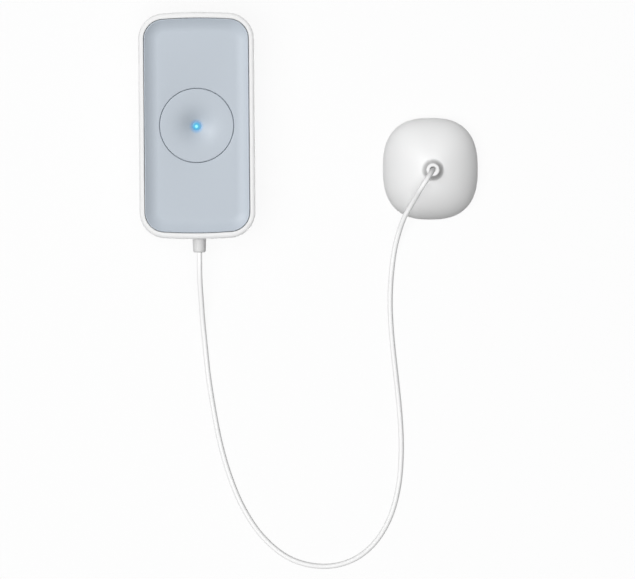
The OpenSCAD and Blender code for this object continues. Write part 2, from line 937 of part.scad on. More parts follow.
module end_contact() {
    translate([-contact_w / 2, -contact_t, -contact_h / 2])
        cube([contact_w, contact_t, contact_h]);
    translate([-tab_w / 2, -contact_t, 0])
        cube([tab_w, contact_t, board_z - cell_z]);
}

module negative_contact() {
    color(steel)
        translate([-cell_pitch / 2, -contact_y, cell_z]) {
            end_contact();
            coil();
        }
}

module positive_contact() {
    color(steel)
        translate([cell_pitch / 2, -contact_y, cell_z]) {
            end_contact();
            bump();
        }
}

module case_screws() {
    color(steel)
        at_corners(boss_x, boss_y) {
            difference() {
                translate([0, 0, screw_seat - screw_head_h])
                    cylinder(r = screw_head_r, h = screw_head_h);
                for (turn = [0, 90])
                    rotate([0, 0, turn])
                        translate([
                            -cross_reach * screw_head_r,
                            -cross_w / 2,
                            screw_seat - screw_head_h - past])
                            cube([2 * cross_reach * screw_head_r, cross_w, cross_depth + past]);
            }
            translate([0, 0, screw_seat - joined])
                cylinder(r = screw_r, h = screw_tip - screw_seat + joined);
        }
}

module board_screws() {
    color(steel)
        at_corners(post_x, post_y) {
            difference() {
                translate([0, 0, board_top])
                    cylinder(r = board_head_r, h = board_head_h);
                for (turn = [0, 90])
                    rotate([0, 0, turn])
                        translate([
                            -cross_reach * board_head_r,
                            -cross_w / 2,
                            board_top + board_head_h - cross_depth])
                            cube([2 * cross_reach * board_head_r, cross_w, cross_depth + past]);
            }
            translate([0, 0, board_top - board_screw_l])
                cylinder(r = board_screw_r, h = board_screw_l + joined / 2);
        }
}

module strain_relief() {
    end_r = relief_end_d / 2;
    color(light_grey)
        translate([exit_x, -body_l / 2, seam_z])
            rotate([90, 0, 0])
                rotate_extrude()
                    polygon(concat(
                        [
                            [0, -relief_in],
                            [relief_flange_r, -relief_in],
                            [relief_flange_r, -wall_t - shank_gap],
                            [neck_r, -wall_t - shank_gap],
                            [neck_r, 0],
                            [relief_d / 2, 0]
                        ],
                        arc(
                            [end_r - relief_round, relief_l - relief_round],
                            relief_round, 0, 90, relief_steps),
                        [[0, relief_l]]));
}

module lead() {
    color(white)
        tube(lead_path, [0, -1, 0], [0, 0, -1], [1, 0, 0], lead_d / 2, lead_sides);
}

module probe_shell() {
    outside = concat(
        [
            lifted(pebble(foot_scale), rim_bottom),
            lifted(pebble(waist_scale), rim_bottom + waist_h)
        ],
        [for (i = [0:dome_rows]) let (k = pow(cos(dome_stop * i / dome_rows), 2 / dome_full))
            if (k > crown_scale) on_dome(pebble(k))],
        [for (t = [0:crown_step:1]) on_dome(between(pebble(crown_scale), eye(collar_foot_r), t))]);
    flare = [for (i = [1:flare_rows]) let (t = i / flare_rows)
        [for (p = on_dome(eye(lerp(collar_foot_r, collar_top_r, t))))
            [p[0], p[1], lerp(p[2], collar_z, pow(t, flare_bend))]]];
    mouth = [
        lifted(eye(collar_bore_r), collar_z),
        lifted(eye(collar_bore_r), ceiling_z)
    ];
    inside = concat(
        [lifted(
            between(pebble(hollow_scale * hollow_mid), eye(collar_bore_r + mouth_lip), hollow_mid),
            ceiling_z)],
        [for (i = [hollow_rows:-1:0])
            let (t = hollow_stop * i / hollow_rows, k = pow(cos(t), 2 / dome_full))
            lifted(
                pebble(hollow_scale * k),
                lerp(shoulder_z + hollow_foot, ceiling_z, pow(sin(t), 2 / dome_full)))],
        [
            lifted(pebble(hollow_scale), shoulder_z),
            lifted(pebble(rim_scale), shoulder_z),
            lifted(pebble(rim_scale), rim_bottom)
        ]);
    color(white)
        translate([probe_x, probe_y, 0])
            hoop(concat(outside, flare, mouth, inside));
}

module cord_bush() {
    rim_r = collar_top_r - bush_rim_round;
    color(white)
        translate([probe_x + collar_dx, probe_y + collar_dy, 0])
            rotate_extrude()
                polygon(concat(
                    [
                        [0, bush_bottom],
                        [bush_lip_r, bush_bottom],
                        [bush_lip_r, ceiling_z],
                        [bush_r, ceiling_z],
                        [bush_r, collar_z],
                        [collar_top_r, collar_z]
                    ],
                    arc([rim_r, bush_top - bush_rim_round], bush_rim_round, 0, 90, bush_rim_steps),
                    [
                        [bush_bore_r + bush_mouth, bush_top],
                        [bush_bore_r, bush_top - bush_mouth],
                        [bush_bore_r, bush_web_z],
                        [0, bush_web_z]
                    ]));
}

module probe_base() {
    color(white)
        translate([probe_x, probe_y, 0])
            difference() {
                union() {
                    translate([0, 0, base_z])
                        linear_extrude(base_t)
                            polygon(pebble(base_scale));
                    at_corners(stud_x, stud_y)
                        translate([0, 0, base_top - joined])
                            cylinder(r = pillar_r, h = probe_board_z - base_top + joined);
                }
                at_corners(stud_x, stud_y)
                    cylinder(r = stud_r + shank_gap, h = probe_board_z + past);
            }
}

module probe_gasket() {
    color(black)
        translate([probe_x, probe_y, base_top])
            linear_extrude(gasket_t)
                difference() {
                    polygon(pebble(base_scale));
                    polygon(pebble(base_scale - gasket_w / half_w));
                }
}

module contact_studs() {
    color(brass)
        translate([probe_x, probe_y, 0])
            at_corners(stud_x, stud_y)
                rotate_extrude()
                    polygon([
                        [0, 0],
                        [stud_head_r - stud_bevel, 0],
                        [stud_head_r, stud_bevel],
                        [stud_head_r, base_z],
                        [stud_r, base_z],
                        [stud_r, stud_tip],
                        [0, stud_tip]
                    ]);
}

module probe_board() {
    color(green)
        translate([probe_x, probe_y, probe_board_z])
            linear_extrude(probe_board_t)
                difference() {
                    polygon(pebble(probe_board_scale));
                    at_corners(stud_x, stud_y)
                        circle(r = stud_r + shank_gap);
                }
}

module probe_cores() {
    color(red)
        translate([probe_x + collar_dx, probe_y + collar_dy, probe_board_top])
            for (side = [-1, 1])
                translate([side * core_pitch / 2, 0, 0])
                    cylinder(r = core_r, h = bush_bottom - probe_board_top);
}

front_frame();
front_panel();
button_cap();
indicator_lens();
switch_plunger();
tact_switch();
status_led();
circuit_board();
radio_module();
controller_chip();
antenna_wire();
lead_header();
lead_plug();
lead_cores();
rear_housing();
back_plate();
battery_left();
battery_right();
bridge_contact();
negative_contact();
positive_contact();
case_screws();
board_screws();
strain_relief();
lead();
probe_shell();
cord_bush();
probe_base();
probe_gasket();
contact_studs();
probe_board();
probe_cores();
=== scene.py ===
import json
import math

import bmesh
import bpy
from bpy.props import FloatProperty
from bpy.props import FloatVectorProperty
from bpy.props import PointerProperty
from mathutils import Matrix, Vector


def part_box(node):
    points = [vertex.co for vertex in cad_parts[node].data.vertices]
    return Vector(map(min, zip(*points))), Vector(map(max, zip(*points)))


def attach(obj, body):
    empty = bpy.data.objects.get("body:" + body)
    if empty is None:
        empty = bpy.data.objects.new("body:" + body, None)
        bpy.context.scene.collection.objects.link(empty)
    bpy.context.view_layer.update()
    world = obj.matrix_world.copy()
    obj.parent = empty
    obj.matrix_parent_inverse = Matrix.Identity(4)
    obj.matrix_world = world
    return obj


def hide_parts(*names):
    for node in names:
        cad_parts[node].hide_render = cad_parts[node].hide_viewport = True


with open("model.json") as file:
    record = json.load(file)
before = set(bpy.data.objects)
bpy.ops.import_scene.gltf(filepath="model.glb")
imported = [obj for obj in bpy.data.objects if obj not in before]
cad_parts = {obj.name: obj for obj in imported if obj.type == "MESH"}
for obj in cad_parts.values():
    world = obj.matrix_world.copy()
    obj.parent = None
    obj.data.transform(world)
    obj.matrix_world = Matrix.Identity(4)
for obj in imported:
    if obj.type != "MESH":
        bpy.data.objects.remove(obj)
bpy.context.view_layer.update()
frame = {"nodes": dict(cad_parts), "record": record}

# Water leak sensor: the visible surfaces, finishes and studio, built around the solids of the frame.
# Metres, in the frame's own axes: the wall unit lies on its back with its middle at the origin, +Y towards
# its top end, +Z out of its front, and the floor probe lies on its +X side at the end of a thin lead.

bl_info = {
    "name": "Water leak sensor",
    "version": (1, 0, 0),
    "blender": (4, 5, 0),
    "location": "View3D > Sidebar > Leak sensor",
    "description": "Builds the surfaces, finishes and studio of a water leak sensor with a floor probe",
    "category": "Object",
}

# Boxes of the solids that the sizes below start from
FRAME_LOW, FRAME_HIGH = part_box("front_frame")
PANEL_LOW, PANEL_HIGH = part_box("front_panel")
CAP_LOW, CAP_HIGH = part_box("button_cap")
LENS_LOW, LENS_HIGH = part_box("indicator_lens")
SHELL_LOW, SHELL_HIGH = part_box("probe_shell")
BUSH_LOW, BUSH_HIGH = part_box("cord_bush")
SLEEVE_LOW, SLEEVE_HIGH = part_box("strain_relief")

# Middle line of the lead, from the strain relief over the floor and up into the probe's collar
LEAD_ROUTE = [
    (0.00050, -0.04500, 0.01200),
    (0.00050, -0.04850, 0.01190),
    (0.00050, -0.05300, 0.01090),
    (0.00070, -0.05800, 0.00880),
    (0.00100, -0.06300, 0.00620),
    (0.00130, -0.06850, 0.00370),
    (0.00180, -0.07450, 0.00180),
    (0.00240, -0.08100, 0.00100),
    (0.00320, -0.08900, 0.00095),
    (0.00480, -0.10000, 0.00095),
    (0.00700, -0.11200, 0.00095),
    (0.01030, -0.12410, 0.00095),
    (0.01520, -0.13610, 0.00095),
    (0.02230, -0.14670, 0.00095),
    (0.03190, -0.15440, 0.00095),
    (0.04300, -0.15720, 0.00095),
    (0.05320, -0.15540, 0.00095),
    (0.06130, -0.14970, 0.00095),
    (0.06720, -0.14060, 0.00095),
    (0.07050, -0.12950, 0.00095),
    (0.07170, -0.11700, 0.00095),
    (0.07140, -0.10450, 0.00095),
    (0.07020, -0.09100, 0.00095),
    (0.06880, -0.07700, 0.00095),
    (0.06820, -0.06600, 0.00095),
    (0.06840, -0.05750, 0.00095),
    (0.06910, -0.05000, 0.00105),
    (0.07005, -0.04400, 0.00195),
    (0.07150, -0.03850, 0.00440),
    (0.07345, -0.03320, 0.00880),
    (0.07570, -0.02920, 0.01330),
    (0.07800, -0.02530, 0.01895),
    (0.07899, -0.02360, 0.02185),
    (0.07993, -0.02217, 0.02320),
    (0.08105, -0.02045, 0.02379),
    (0.08220, -0.01870, 0.02338),
    (0.08312, -0.01729, 0.02207),
    (0.08362, -0.01653, 0.02014),
    (0.08370, -0.01640, 0.01800),
    (0.08370, -0.01640, 0.01720),
]
LEAD_LEAVES = Vector((0.0, -1.0, 0.0))
LEAD_ENTERS = Vector((0.0, 0.0, -1.0))

# Where the lit diode sits behind the lens, and the shares of a radius between which a tone fades: the pale
# core and the rim of the lit lens, the blue halo on the button and the painted shade on the probe's collar
GLOW_SPOT = (-0.00012, -0.00028)
CORE_FADE = (0.10, 0.54)
RIM_FADE = (0.50, 1.25)
HALO_FADE = (0.90, 1.78)
COLLAR_SHADE_FADE = (0.70, 1.02)

# Pieces with lamps of their own: those in the blue-grey front, those along the lead and those on the sides
FRONT_PIECES = ("panel_tray", "button_dish", "lens_dome")
LEAD_PIECES = ("lead_jacket", "sleeve_moulding")
SIDE_PIECES = ("frame_bezel", "rear_housing", "back_plate")

# Points along a quarter of the wall unit's outline, round the turned pieces and round the probe
SIDE_STEPS = 14
CORNER_STEPS = 20
END_STEPS = 8
BUTTON_STEPS = 120
LENS_STEPS = 64
SMALL_STEPS = 96
PROBE_STEPS = 160

# Angles in degrees above which an edge stays sharp, on the pieces made here and on the solids
SHARP_ANGLE = 40.0
SPLIT_ANGLE = 32.0

# Radius at which a turned profile meets its axis
AXIS_R = 1e-6

# Frame and panel: the bevel of their back edges, the frame's ledge and rebate, and the panel's roundings
BACK_BEVEL = 0.0002
LEDGE_W = 0.0014
LEDGE_T = 0.0012
LEDGE_SLOPE = 0.0007
REBATE_W = 0.0009
REBATE_H = 0.0016
RIM_ROUND = 0.00025
OPENING_ROUND = 0.0003

# Button and lens: the cap's rounding, skirt and flange, the lens's seat and gap, its flange and its rise
CAP_ROUND = 0.0003
SKIRT_T = 0.0014
CAP_FLANGE_T = 0.0009
SEAT_W = 0.0012
LENS_GAP = 0.00005
LENS_FLANGE_T = 0.0004
LENS_RISE = 0.0003

# Sleeve: the depth of its neck, its flange inside the case and its bevel outside
NECK_DEPTH = 0.0005
SLEEVE_FLANGE_T = 0.0012
SLEEVE_BEVEL = 0.0001

# Probe shell, outside: its tucked foot, the share of the outline where the dome starts to run towards the
# collar, and how the collar flares
FOOT_SCALE = 0.94
FOOT_BEVEL = 0.00015
TUCK = 0.045
TUCK_POWER = 2.2
CROWN = 0.45
CROWN_GAP = 0.02
FLARE_POWER = 1.3

# Probe shell, inside: its thickness at the top, at the rim and beside the hollow, the ring on top of the
# collar, the ceiling's outline round the bore, and the shoulder that the base meets
CEILING_T = 0.0022
RIM_T = 0.0016
HOLLOW_T = 0.0028
HOLLOW_TOP = 58.0
COLLAR_RING = 0.0006
CEILING_SCALE = 0.4
CEILING_SHIFT = 0.4
BORE_LEDGE = 0.001
SHOULDER_DROP = 0.0001
SHOULDER_STEP = 0.0003

# Bush: its gap in the collar, its lip under the ceiling, its gap round the lead and its roundings
BUSH_GAP = 0.00005
BUSH_LIP = 0.0006
LEAD_GAP = 0.00025
BUSH_ROUND = 0.00035
MOUTH_ROUND = 0.0002

# Studio: distance and size of the lamps, and the floor's width, height and tone
LAMP_DISTANCE = 1.6
TOP_LAMP_DISTANCE = 1.8
LAMP_SIZE = 1.3
FRONT_LAMP_SIZE = 0.9
FLOOR_WIDTH = 6.0
FLOOR_Z = -0.00003
FLOOR_TONE = (0.95, 0.95, 0.95)
WHITE = (1.0, 1.0, 1.0)


# Properties


def length(name, description, default):
    """A length in metres that a user may change."""
    return FloatProperty(
        name=name, description=description, default=default, min=0.0, precision=5,
        unit="LENGTH", subtype="DISTANCE")


def number(name, description, default):
    """A plain number that a user may change."""
    return FloatProperty(name=name, description=description, default=default, min=0.0)


def angle(name, description, degrees):
    """An angle that a user may change, given in degrees."""
    return FloatProperty(
        name=name, description=description, default=math.radians(degrees), unit="ROTATION", subtype="ANGLE")


def tint(name, description, default):
    """A linear colour that a user may change."""
    return FloatVectorProperty(
        name=name, description=description, default=default, min=0.0, max=1.0, size=3, subtype="COLOR")


class WallUnitSizes(bpy.types.PropertyGroup):
    """Sizes of the wall unit's frame and front panel."""

    width: length("Width", "Width across the frame", FRAME_HIGH.x - FRAME_LOW.x)
    length: length("Length", "Length from end to end", FRAME_HIGH.y - FRAME_LOW.y)
    front_z: length("Front", "Height of the frame's front edge", FRAME_HIGH.z)
    seam_z: length("Seam", "Height of the parting line", FRAME_LOW.z)
    corner_r: length("Corner radius", "Corner radius seen from the front", 0.0092)
    bow_r: length("End bow", "Radius of the slight bow of the short ends", 0.170)
    wall: length("Wall", "Wall thickness of the frame at its ends", 0.002)
    side_ease: length("Side ease", "How much thinner the wall is along the long sides", 0.00025)
    edge_r: length("Edge radius", "Rounding of the outer front edge", 0.0011)
    lip_r: length("Lip radius", "Rounding of the inner front edge", 0.0004)
    panel_z: length("Panel back", "Height of the panel's back face", PANEL_LOW.z)
    panel_gap: length("Panel gap", "Gap between panel and frame", 0.0002)
    rim_z: length("Rim height", "Height of the panel's curled rim", PANEL_HIGH.z)
    rim_rise: length("Rim rise", "Rise of the rim above the panel's flat", 0.0015)
    rim_w: length("Rim width", "Width over which the rim curls up", 0.0046)


class ButtonSizes(bpy.types.PropertyGroup):
    """Sizes of the test button and its lens."""

    cap_r: length("Cap radius", "Radius of the cap", 0.0131)
    gap: length("Gap", "Gap between cap and panel", 0.00015)
    dish_depth: length("Dish depth", "Depth of the dish in the cap", 0.0035)
    dish_reach: length("Dish reach", "Distance over which the dish is steep", 0.0046)
    cap_t: length("Cap thickness", "Thickness of the cap under the dish", 0.0012)
    lens_r: length("Lens radius", "Radius of the indicator lens", 0.0016)


class LeadSizes(bpy.types.PropertyGroup):
    """Sizes of the lead and its sleeve at the wall unit."""

    diameter: length("Diameter", "Diameter of the lead", 0.0018)
    sleeve_r: length("Sleeve radius", "Radius of the sleeve at the case", 0.0024)
    sleeve_end_r: length("Sleeve end radius", "Radius of the sleeve at its free end", 0.00225)
    sleeve_round: length("Sleeve rounding", "Rounding of the sleeve's free end", 0.0007)


class ProbeSizes(bpy.types.PropertyGroup):
    """Sizes of the floor probe's shell and collar."""

    width: length("Width", "Width of the probe", SHELL_HIGH.x - SHELL_LOW.x)
    length: length("Length", "Length of the probe", SHELL_HIGH.y - SHELL_LOW.y)
    square: number("Squareness", "Squareness of the outline, where 2 is an ellipse", 2.57)
    full: number("Fullness", "Fullness of the dome seen from the side", 1.6)
    girth_z: length("Girth", "Height of the widest line", 0.0040)
    top_z: length("Dome height", "Height of the dome", 0.0170)
    collar_z: length("Collar height", "Height of the collar's top", SHELL_HIGH.z)
    collar_foot_r: length("Collar foot", "Radius of the collar at its foot", 0.0039)
    collar_top_r: length("Collar top", "Radius of the collar at its top", (BUSH_HIGH.x - BUSH_LOW.x) / 2)


class Tints(bpy.types.PropertyGroup):
    """Colours of the finishes."""

    white: tint("White", "Satin white of the mouldings", (0.90, 0.902, 0.902))
    panel: tint("Panel", "Blue-grey of the panel and button", (0.504, 0.556, 0.615))
    # The collar tint is painted shade: a darker tone on the collar's flank where shade falls round the bush
    collar: tint("Collar", "Greyer white of the probe's collar", (0.57, 0.57, 0.57))
    sleeve: tint("Sleeve", "Light grey of the strain relief", (0.65, 0.65, 0.65))
    bush: tint("Bush", "White of the bush in the collar", (0.86, 0.86, 0.86))
    jacket: tint("Jacket", "White of the lead's jacket", (0.95, 0.95, 0.95))
    glow: tint("Glow", "Blue of the lit indicator", (0.045, 0.40, 0.665))
    glow_core: tint("Glow core", "Pale middle of the lit indicator", (0.36, 1.0, 1.0))
    glow_edge: tint("Glow edge", "Outermost blue of the lit indicator", (0.258, 0.362, 0.528))
    halo: tint("Halo", "Blue that the light gives the button round its lens", (0.276, 0.475, 0.716))
    board: tint("Board", "Green of the circuit boards", (0.015, 0.12, 0.05))
    steel: tint("Steel", "Nickel-plated steel", (0.60, 0.60, 0.61))
    brass: tint("Brass", "Gold-plated brass", (0.76, 0.56, 0.24))
    cell: tint("Cell", "Wrap of the cells", (0.07, 0.16, 0.36))
    black: tint("Black", "Black plastic and rubber", (0.025, 0.025, 0.028))
    core: tint("Core", "Insulation of the lead's cores", (0.50, 0.03, 0.025))
    led: tint("LED", "Body of the light-emitting diode", (0.80, 0.80, 0.66))


class StudioSettings(bpy.types.PropertyGroup):
    """The camera, the lamps and the floor."""

    lens_mm: number("Lens", "Focal length of the camera in millimetres", 800.0)
    view_w: length("View width", "Width of the view at the front of the wall unit", 0.22523)
    aim_x: length("Aim across", "Middle of the view across the wall unit", 0.04235)
    aim_y: FloatProperty(
        name="Aim along", description="Middle of the view along the wall unit", default=-0.05855,
        unit="LENGTH", subtype="DISTANCE")
    roll: angle("Roll", "Turn of the camera about its line of sight", -0.489)
    front_azimuth: angle("Front azimuth", "Direction of the front panel's lamp, from +X towards +Y", 155.0)
    front_zenith: angle("Front zenith", "Angle of the front panel's lamp from straight overhead", 38.0)
    front: number("Front", "Share of full light that its lamp gives the front panel", 0.70)
    probe_azimuth: angle("Probe azimuth", "Direction of the probe's lamp, from +X towards +Y", 133.0)
    probe_zenith: angle("Probe zenith", "Angle of the probe's lamp from straight overhead", 21.5)
    probe: number("Probe", "Share of full light that its lamp gives the probe", 0.70)
    case_azimuth: angle("Case azimuth", "Direction of the case's lamp, from +X towards +Y", 148.0)
    case_zenith: angle("Case zenith", "Angle of the case's lamp from straight overhead", 24.0)
    case: number("Case", "Share of full light that its lamp gives the case", 0.432)
    side_zenith: angle("Side zenith", "Angle of the four side lamps from straight overhead", 76.0)
    side: number("Side", "Share of full light that each side lamp gives the case", 0.19)
    lead_azimuth: angle("Lead azimuth", "Direction of the lead's lamp, from +X towards +Y", 204.0)
    lead_zenith: angle("Lead zenith", "Angle of the lead's lamp from straight overhead", 28.5)
    lead: number("Lead", "Share of full light that its lamp gives the lead", 0.715)
    floor_azimuth: angle("Floor azimuth", "Direction of the floor's lamp, from +X towards +Y", 205.0)
    floor_zenith: angle("Floor zenith", "Angle of the floor's lamp from straight overhead", 16.0)
    floor: number("Floor", "Share of full light that its lamp gives the floor", 0.55)
    top: number("Top", "Share of full light that the overhead lamp gives", 0.29)
    under: number("Under", "Share of full light that the lamp below the floor gives the stiff pieces", 0.30)
    bounce: number("Bounce", "Share of full light that the floor gives back", 0.19)
    ambient: number("Ambient", "Share of full light that comes from all round", 0.16)
    floor_white: number("Floor white", "Share of the floor that shows the white sky", 0.90)


# Finishes


class Term:
    """A value in a finish. Arithmetic on it adds Math nodes to the same tree."""

    def __init__(self, finish, socket):
        self.finish = finish
        self.socket = socket

    def __add__(self, other):
        return self.finish.math("ADD", self, other)

    def __radd__(self, other):
        return self.finish.math("ADD", other, self)

    def __sub__(self, other):
        return self.finish.math("SUBTRACT", self, other)

    def __rsub__(self, other):
        return self.finish.math("SUBTRACT", other, self)

    def __mul__(self, other):
        return self.finish.math("MULTIPLY", self, other)

    def __rmul__(self, other):
        return self.finish.math("MULTIPLY", other, self)

    def __pow__(self, other):
        return self.finish.math("POWER", self, other)

    def eased(self, low, high):
        """0 below low and 1 above high, with a soft step between them."""
        return self.finish.node(
            "ShaderNodeMapRange",
            {"interpolation_type": "SMOOTHSTEP", "clamp": True},
            {"Value": self, "From Min": low, "From Max": high, "To Min": 0.0, "To Max": 1.0})

    def faded(self, radius, fade):
        """0 in the middle of a spot and 1 outside, with a soft step between two shares of its radius."""
        return self.eased(radius * fade[0], radius * fade[1])


class Finish:
    """A node tree under construction, of a material or of the world."""

    def __init__(self, owner):
        self.owner = owner
        owner.use_nodes = True
        self.tree = owner.node_tree
        self.tree.nodes.clear()

    def node(self, kind, settings=None, sockets=None, out=0):
        """Adds a node, sets its settings, feeds its sockets and returns one of its outputs."""
        made = self.tree.nodes.new(kind)
        for key, value in (settings or {}).items():
            setattr(made, key, value)
        for key, value in (sockets or {}).items():
            if isinstance(value, Term):
                self.tree.links.new(value.socket, made.inputs[key])
            else:
                made.inputs[key].default_value = value
        return Term(self, made.outputs[out]) if made.outputs else None

    def math(self, operation, *terms):
        """A Math node on terms and numbers."""
        return self.node("ShaderNodeMath", {"operation": operation}, dict(enumerate(terms)))

    def place(self):
        """Where a point lies in the piece's own axes, which are the frame's."""
        return self.node("ShaderNodeTexCoord", out="Object")

    def part(self, axis):
        """One coordinate of where a point lies."""
        return self.node("ShaderNodeSeparateXYZ", None, {0: self.place()}, axis)

    def from_axis(self, x, y):
        """Distance of a point from an upright line through (x, y)."""
        return ((self.part("X") - x) ** 2 + (self.part("Y") - y) ** 2) ** 0.5

    def noise(self, grain, detail=2.0, rough=0.5, stretch=(1.0, 1.0, 1.0)):
        """Noise from 0 to 1 with spots about as large as the grain."""
        spot = self.node(
            "ShaderNodeVectorMath", {"operation": "MULTIPLY"}, {0: self.place(), 1: stretch})
        return self.node(
            "ShaderNodeTexNoise", None,
            {"Vector": spot, "Scale": 1.0 / grain, "Detail": detail, "Roughness": rough})

    def mixed(self, low, high, share):
        """Colour between two colours."""
        return self.node(
            "ShaderNodeMix", {"data_type": "RGBA"},
            {0: share, 6: solid(low), 7: solid(high)}, 2)

    def bump(self, height, strength, distance):
        """Normal of a surface with small heights on it."""
        return self.node(
            "ShaderNodeBump", None, {"Height": height, "Strength": strength, "Distance": distance})

    def plastic(self, sockets):
        """Ends the tree in a Principled shader with these sockets."""
        shader = self.node("ShaderNodeBsdfPrincipled", None, sockets)
        return self.ended(shader)

    def ended(self, shader, output="ShaderNodeOutputMaterial"):
        """Ends the tree in a shader."""
        self.node(output, None, {"Surface": shader})
        return self.owner


def solid(colour):
    """A colour that a socket takes: a term as it is, and three numbers with a fourth."""
    return colour if isinstance(colour, Term) else (*colour[:3], 1.0)


def shaded(colour, factor):
    """A colour made darker or lighter by a plain factor."""
    return tuple(min(1.0, channel * factor) for channel in colour)


def new_finish(name):
    """The finish of a new material."""
    return Finish(bpy.data.materials.new(name))


def moulded_plastic(name, colour, rough=0.42, grain=0.00035, relief=0.000006, painted_spot=None):
    """Satin moulded plastic: fine eroded grain, faint flow marks and slight changes of gloss.

    An optional round spot paints light or shade into the colour: its place, radius, fade and colour.
    """
    finish = new_finish(name)
    fine = finish.noise(grain, 3.0, 0.6)
    broad = finish.noise(0.018, 2.0)
    base = finish.mixed(shaded(colour, 0.985), shaded(colour, 1.012), broad)
    # Painted light or shade: a round spot of another colour blended into the base colour
    if painted_spot:
        x, y, radius, fade, other = painted_spot
        base = finish.mixed(other, base, finish.from_axis(x, y).faded(radius, fade))
    return finish.plastic({
        "Base Color": base,
        "Roughness": rough - 0.05 + 0.06 * broad + 0.05 * fine,
        "Normal": finish.bump(fine, 0.35, relief),
        "Specular IOR Level": 0.3,
    })


def lit_lens(name, glow, core, edge, lens_r):
    """Clear lens over a lit diode a little off its middle: a pale core that fades through blue."""
    finish = new_finish(name)
    off = finish.from_axis(*GLOW_SPOT)
    middle = 1.0 - off.faded(lens_r, CORE_FADE)
    rim = off.faded(lens_r, RIM_FADE)
    cloud = finish.noise(0.0004, 2.0)
    return finish.plastic({
        "Base Color": finish.mixed((0.02, 0.05, 0.08), (0.03, 0.06, 0.10), cloud),
        "Roughness": 0.32 + 0.08 * cloud,
        "Emission Color": finish.mixed(finish.mixed(glow, edge, rim), core, middle),
        "Emission Strength": 1.0,
        "Specular IOR Level": 0.2,
        "IOR": 1.49,
    })


def soft_jacket(name, colour):
    """Soft white jacket of the lead: drawn lengthways, a little uneven, with a low sheen."""
    finish = new_finish(name)
    fine = finish.noise(0.00025, 3.0, 0.6)
    wave = finish.noise(0.006, 2.0)
    return finish.plastic({
        "Base Color": finish.mixed(shaded(colour, 0.975), shaded(colour, 1.015), wave),
        "Roughness": 0.44 + 0.08 * wave + 0.05 * fine,
        "Normal": finish.bump(0.7 * wave + 0.3 * fine, 0.3, 0.00001),
        "Specular IOR Level": 0.25,
    })


def solder_mask(name, colour):
    """Green solder mask over fine copper tracks."""
    finish = new_finish(name)
    lines = finish.node(
        "ShaderNodeTexBrick", {"offset": 0.37, "squash": 1.6},
        {"Vector": finish.place(), "Scale": 130.0, "Mortar Size": 0.05, "Mortar Smooth": 0.4}, "Fac")
    fine = finish.noise(0.0006, 2.0)
    return finish.plastic({
        "Base Color": finish.mixed(colour, shaded(colour, 2.1), 0.7 * lines + 0.2 * fine),
        "Roughness": 0.22 + 0.14 * fine,
        "Normal": finish.bump(lines, 0.5, 0.00002),
    })


def plated_metal(name, colour, rough, stretch):
    """Plated metal with fine drawn marks along one direction."""
    finish = new_finish(name)
    marks = finish.noise(0.0002, 3.0, 0.6, stretch)
    stain = finish.noise(0.004, 2.0)
    return finish.plastic({
        "Base Color": finish.mixed(shaded(colour, 0.9), colour, stain),
        "Metallic": 1.0,
        "Roughness": rough + 0.12 * marks + 0.06 * stain,
        "Normal": finish.bump(marks, 0.25, 0.000004),
    })


def cell_wrap(name, colour, middle_y, half_l):
    """Printed foil of a plain cell: a coloured wrap with bare bands at both ends."""
    finish = new_finish(name)
    out = finish.math("ABSOLUTE", finish.part("Y") - middle_y)
    bare = out.eased(half_l * 0.86, half_l * 0.88)
    fine = finish.noise(0.0005, 2.0)
    wrap = finish.mixed(colour, shaded(colour, 1.25), fine)
    return finish.plastic({
        "Base Color": finish.mixed(wrap, (0.62, 0.62, 0.63), bare),
        "Metallic": 0.35 + 0.6 * bare,
        "Roughness": 0.26 + 0.1 * fine,
    })


def dull_rubber(name, colour):
    """Dull black rubber or moulded resin with a fine speckle."""
    finish = new_finish(name)
    fine = finish.noise(0.0003, 3.0, 0.6)
    return finish.plastic({
        "Base Color": finish.mixed(colour, shaded(colour, 1.9), fine),
        "Roughness": 0.55 + 0.2 * fine,
        "Normal": finish.bump(fine, 0.4, 0.00001),
    })


def glossy_insulation(name, colour):
    """Glossy extruded insulation or clear resin with slight waves."""
    finish = new_finish(name)
    wave = finish.noise(0.002, 2.0)
    return finish.plastic({
        "Base Color": finish.mixed(shaded(colour, 0.9), shaded(colour, 1.1), wave),
        "Roughness": 0.25 + 0.1 * wave,
        "Normal": finish.bump(wave, 0.2, 0.00001),
    })


def finish_of(slot):
    """The material of one of the record's slots, made the first time it is asked for."""
    name = "finish_" + slot
    known = bpy.data.materials.get(name)
    if known:
        return known
    tints = bpy.context.scene.leak_sensor_tints
    button = bpy.context.scene.leak_sensor_button
    left_low, left_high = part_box("battery_left")
    makers = {
        "white_plastic": lambda: moulded_plastic(name, tints.white),
        "panel_plastic": lambda: moulded_plastic(name, tints.panel),
        "clear_lens": lambda: lit_lens(
            name, tints.glow, tints.glow_core, tints.glow_edge, button.lens_r),
        "grey_plastic": lambda: moulded_plastic(name, tints.sleeve, 0.5, 0.0003, 0.00001),
        "black_plastic": lambda: dull_rubber(name, tints.black),
        "lead_jacket": lambda: soft_jacket(name, tints.jacket),
        "core_insulation": lambda: glossy_insulation(name, tints.core),
        "led_body": lambda: glossy_insulation(name, tints.led),
        "board": lambda: solder_mask(name, tints.board),
        "steel": lambda: plated_metal(name, tints.steel, 0.22, (1.0, 0.08, 1.0)),
        "brass": lambda: plated_metal(name, tints.brass, 0.2, (0.3, 1.0, 1.0)),
        "cell": lambda: cell_wrap(
            name, tints.cell, (left_low.y + left_high.y) / 2, (left_high.y - left_low.y) / 2),
        "gasket_rubber": lambda: dull_rubber(name, tints.black),
    }
    return makers[slot]()


# Forms


def arc(x, y, radius, start, stop, steps):
    """Points on an arc, with its angles in degrees."""
    angles = [math.radians(start + (stop - start) * i / steps) for i in range(steps + 1)]
    return [(x + radius * math.cos(a), y + radius * math.sin(a)) for a in angles]


def spread(low, high, steps):
    """Numbers from low to high in even steps."""
    return [low + (high - low) * i / steps for i in range(steps + 1)]


